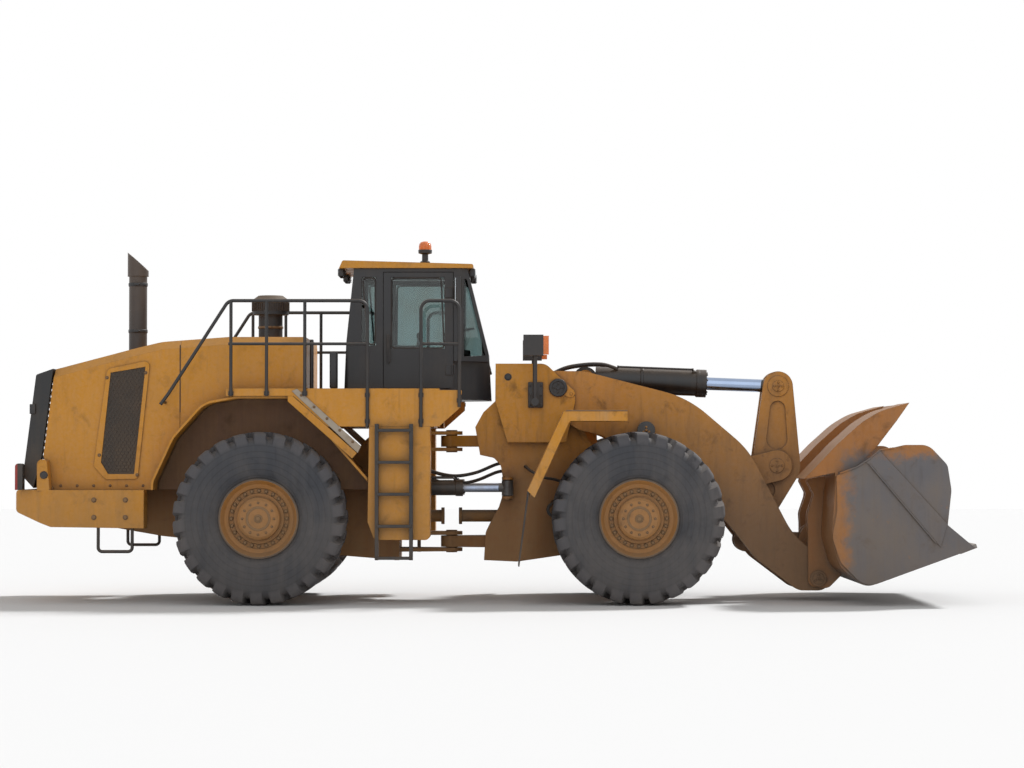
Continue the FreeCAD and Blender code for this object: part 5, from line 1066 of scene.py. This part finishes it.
put("tilt_cylinder_gland", cylinder_dress(pin_at(TILT_BASE, 0), pin_at(LEVER_TOP, 0), 1.521, 0.160, (0, -0.6, 1)),
    deep_black, "tilt_cylinder")
for hand, side in (("right", -1), ("left", 1)):
    lift_dress = cylinder_dress(pin_at(LIFT_BASE, side * LIFT_SIDE), pin_at(LIFT_EYE, side * LIFT_SIDE),
                                1.328, 0.100, (0.8, 0, -1))
    steer_dress = cylinder_dress(pin_at(STEER_BASE, side * STEER_SIDE), pin_at(STEER_EYE, side * STEER_SIDE),
                                 1.002, 0.090, (0, 0, 1))
    put(f"lift_cylinder_gland_{hand}", lift_dress, black_paint, f"lift_cylinder_{hand}")
    put(f"steering_cylinder_gland_{hand}", steer_dress, black_paint, f"steering_cylinder_{hand}")

# Hydraulic hoses
# Wire-braided rubber hoses: four cross the hinge in slack loops, two feed the tilt cylinder over the
# boom's pivot, and one runs to each lift cylinder's foot.
hose_look = weathered("hose_rubber", linear(38, 38, 40), 0.0, 0.3, 0.6, bump=0.4,
                      relief=lambda tree, spot: noise(tree, spot, 180.0, 2.0))


def hose(name, stops, radius):
    """A hose along a smooth path through its stops, fixed in place."""
    path = curved(stops, 12)
    piece = put(name, tube(path, radius, 12), hose_look, None, 60)
    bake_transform(piece)


for number, (side, height) in enumerate(((-0.24, 1.70), (-0.12, 1.60), (0.12, 1.60), (0.24, 1.70))):
    hinge_stops = [(-1.137, side, height), (-0.98, side, height), (-0.76, side * 1.05, height - 0.10),
                   (-0.48, side * 1.1, height - 0.16), (-0.20, side * 1.05, height - 0.12),
                   (0.08, side, height - 0.01), (0.262, side, height)]
    hose(f"hinge_hose_{number + 1}", hinge_stops, 0.020)
for number, side in enumerate((-0.235, 0.235)):
    tilt_stops = [(0.303, side, 2.28), (0.40, side, 2.33), (0.50, side, 2.52), (0.66, side, 2.74),
                  (0.90, side, 2.88), (1.16, side * 0.96, 2.93), (1.38, side * 0.74, 2.935),
                  (1.52, side * 0.50, 2.90), (1.58, side * 0.43, 2.872)]
    hose(f"tilt_hose_{number + 1}", tilt_stops, 0.022)
for hand, side in (("right", -1), ("left", 1)):
    lift_stops = [(along, side * reach, height) for along, reach, height in (
        (0.42, 0.431, 1.66), (0.43, 0.52, 1.655), (0.50, 0.62, 1.60), (0.64, 0.69, 1.53), (0.79, 0.70, 1.50),
        (0.89, 0.70, 1.46), (0.934, 0.70, 1.404))]
    hose(f"lift_hose_{hand}", lift_stops, 0.018)

# Bucket
# A rolled steel shell scoured to bare metal by rock, with paint left only where the load never rubs:
# the spill guard, the back and the tops of the side plates. The edge is hardened plate on bolts.
BUCKET_FACE = -1.902
EDGE_SLOPE = (-0.342, 0, 0.94)
EDGE_SEGMENTS = 9


def scoured(tree, spot):
    """Yellow high up and behind, bare below, with a ragged border between."""
    apart = add(tree, "SeparateXYZ", {0: spot}).outputs
    ragged = times(tree, calc(tree, "SUBTRACT", noise(tree, spot, 5.0, 8.0, 0.7), 0.5), 0.5)
    high = ramp(tree, calc(tree, "ADD", apart["Z"], ragged), 1.72, 1.90)
    behind = ramp(tree, calc(tree, "ADD", apart["X"], ragged), 4.34, 4.14)
    patches = times(tree, ramp(tree, noise(tree, spot, 3.2, 9.0, 0.75, 0.5), 0.60, 0.66), 0.55)
    painted = calc(tree, "MAXIMUM", times(tree, calc(tree, "MAXIMUM", high, behind), 0.85), patches)
    return mix(tree, painted, linear(96, 94, 97), linear(164, 104, 38))


bucket_look = weathered("bucket_steel", scoured, 0.7, 0.5, 0.42, dust=linear(126, 110, 92), metal=0.4,
                        bump=0.5, deep=0.003)
finish_nodes(bucket_look, "bucket")
edge_look = weathered("cutting_steel", linear(128, 126, 124), 0.5, 0.25, 0.3, metal=0.85, bump=0.3)
finish_nodes(edge_look, "cutting_edge")
edge_bolts = [(5.655, side, 0.702) for side in np.linspace(-1.75, 1.75, 11)]
put("edge_bolts", screws(edge_bolts, EDGE_SLOPE, 0.026, 0.016), edge_look, "bucket_body")
rib_weld = weld(at_side([(4.505, 1.690), (5.300, 0.745)], BUCKET_FACE), 0.012)
guard_weld = weld(at_side([(4.150, 1.585), (4.345, 1.655), (4.490, 1.745), (4.625, 1.862), (4.800, 1.885)],
                          BUCKET_FACE), 0.010)
put("bucket_welds", both_sides(gathered(rib_weld, guard_weld)), bucket_look, "bucket_body", 60)
segment = rounded_block((-0.004, -0.160, -0.004), (0.090, 0.160, 0.014), 0.004, 3)
put("edge_segments", repeated(segment, [(5.600, side, 0.680) for side in np.linspace(-1.66, 1.66, EDGE_SEGMENTS)]),
    edge_look, "bucket_body")
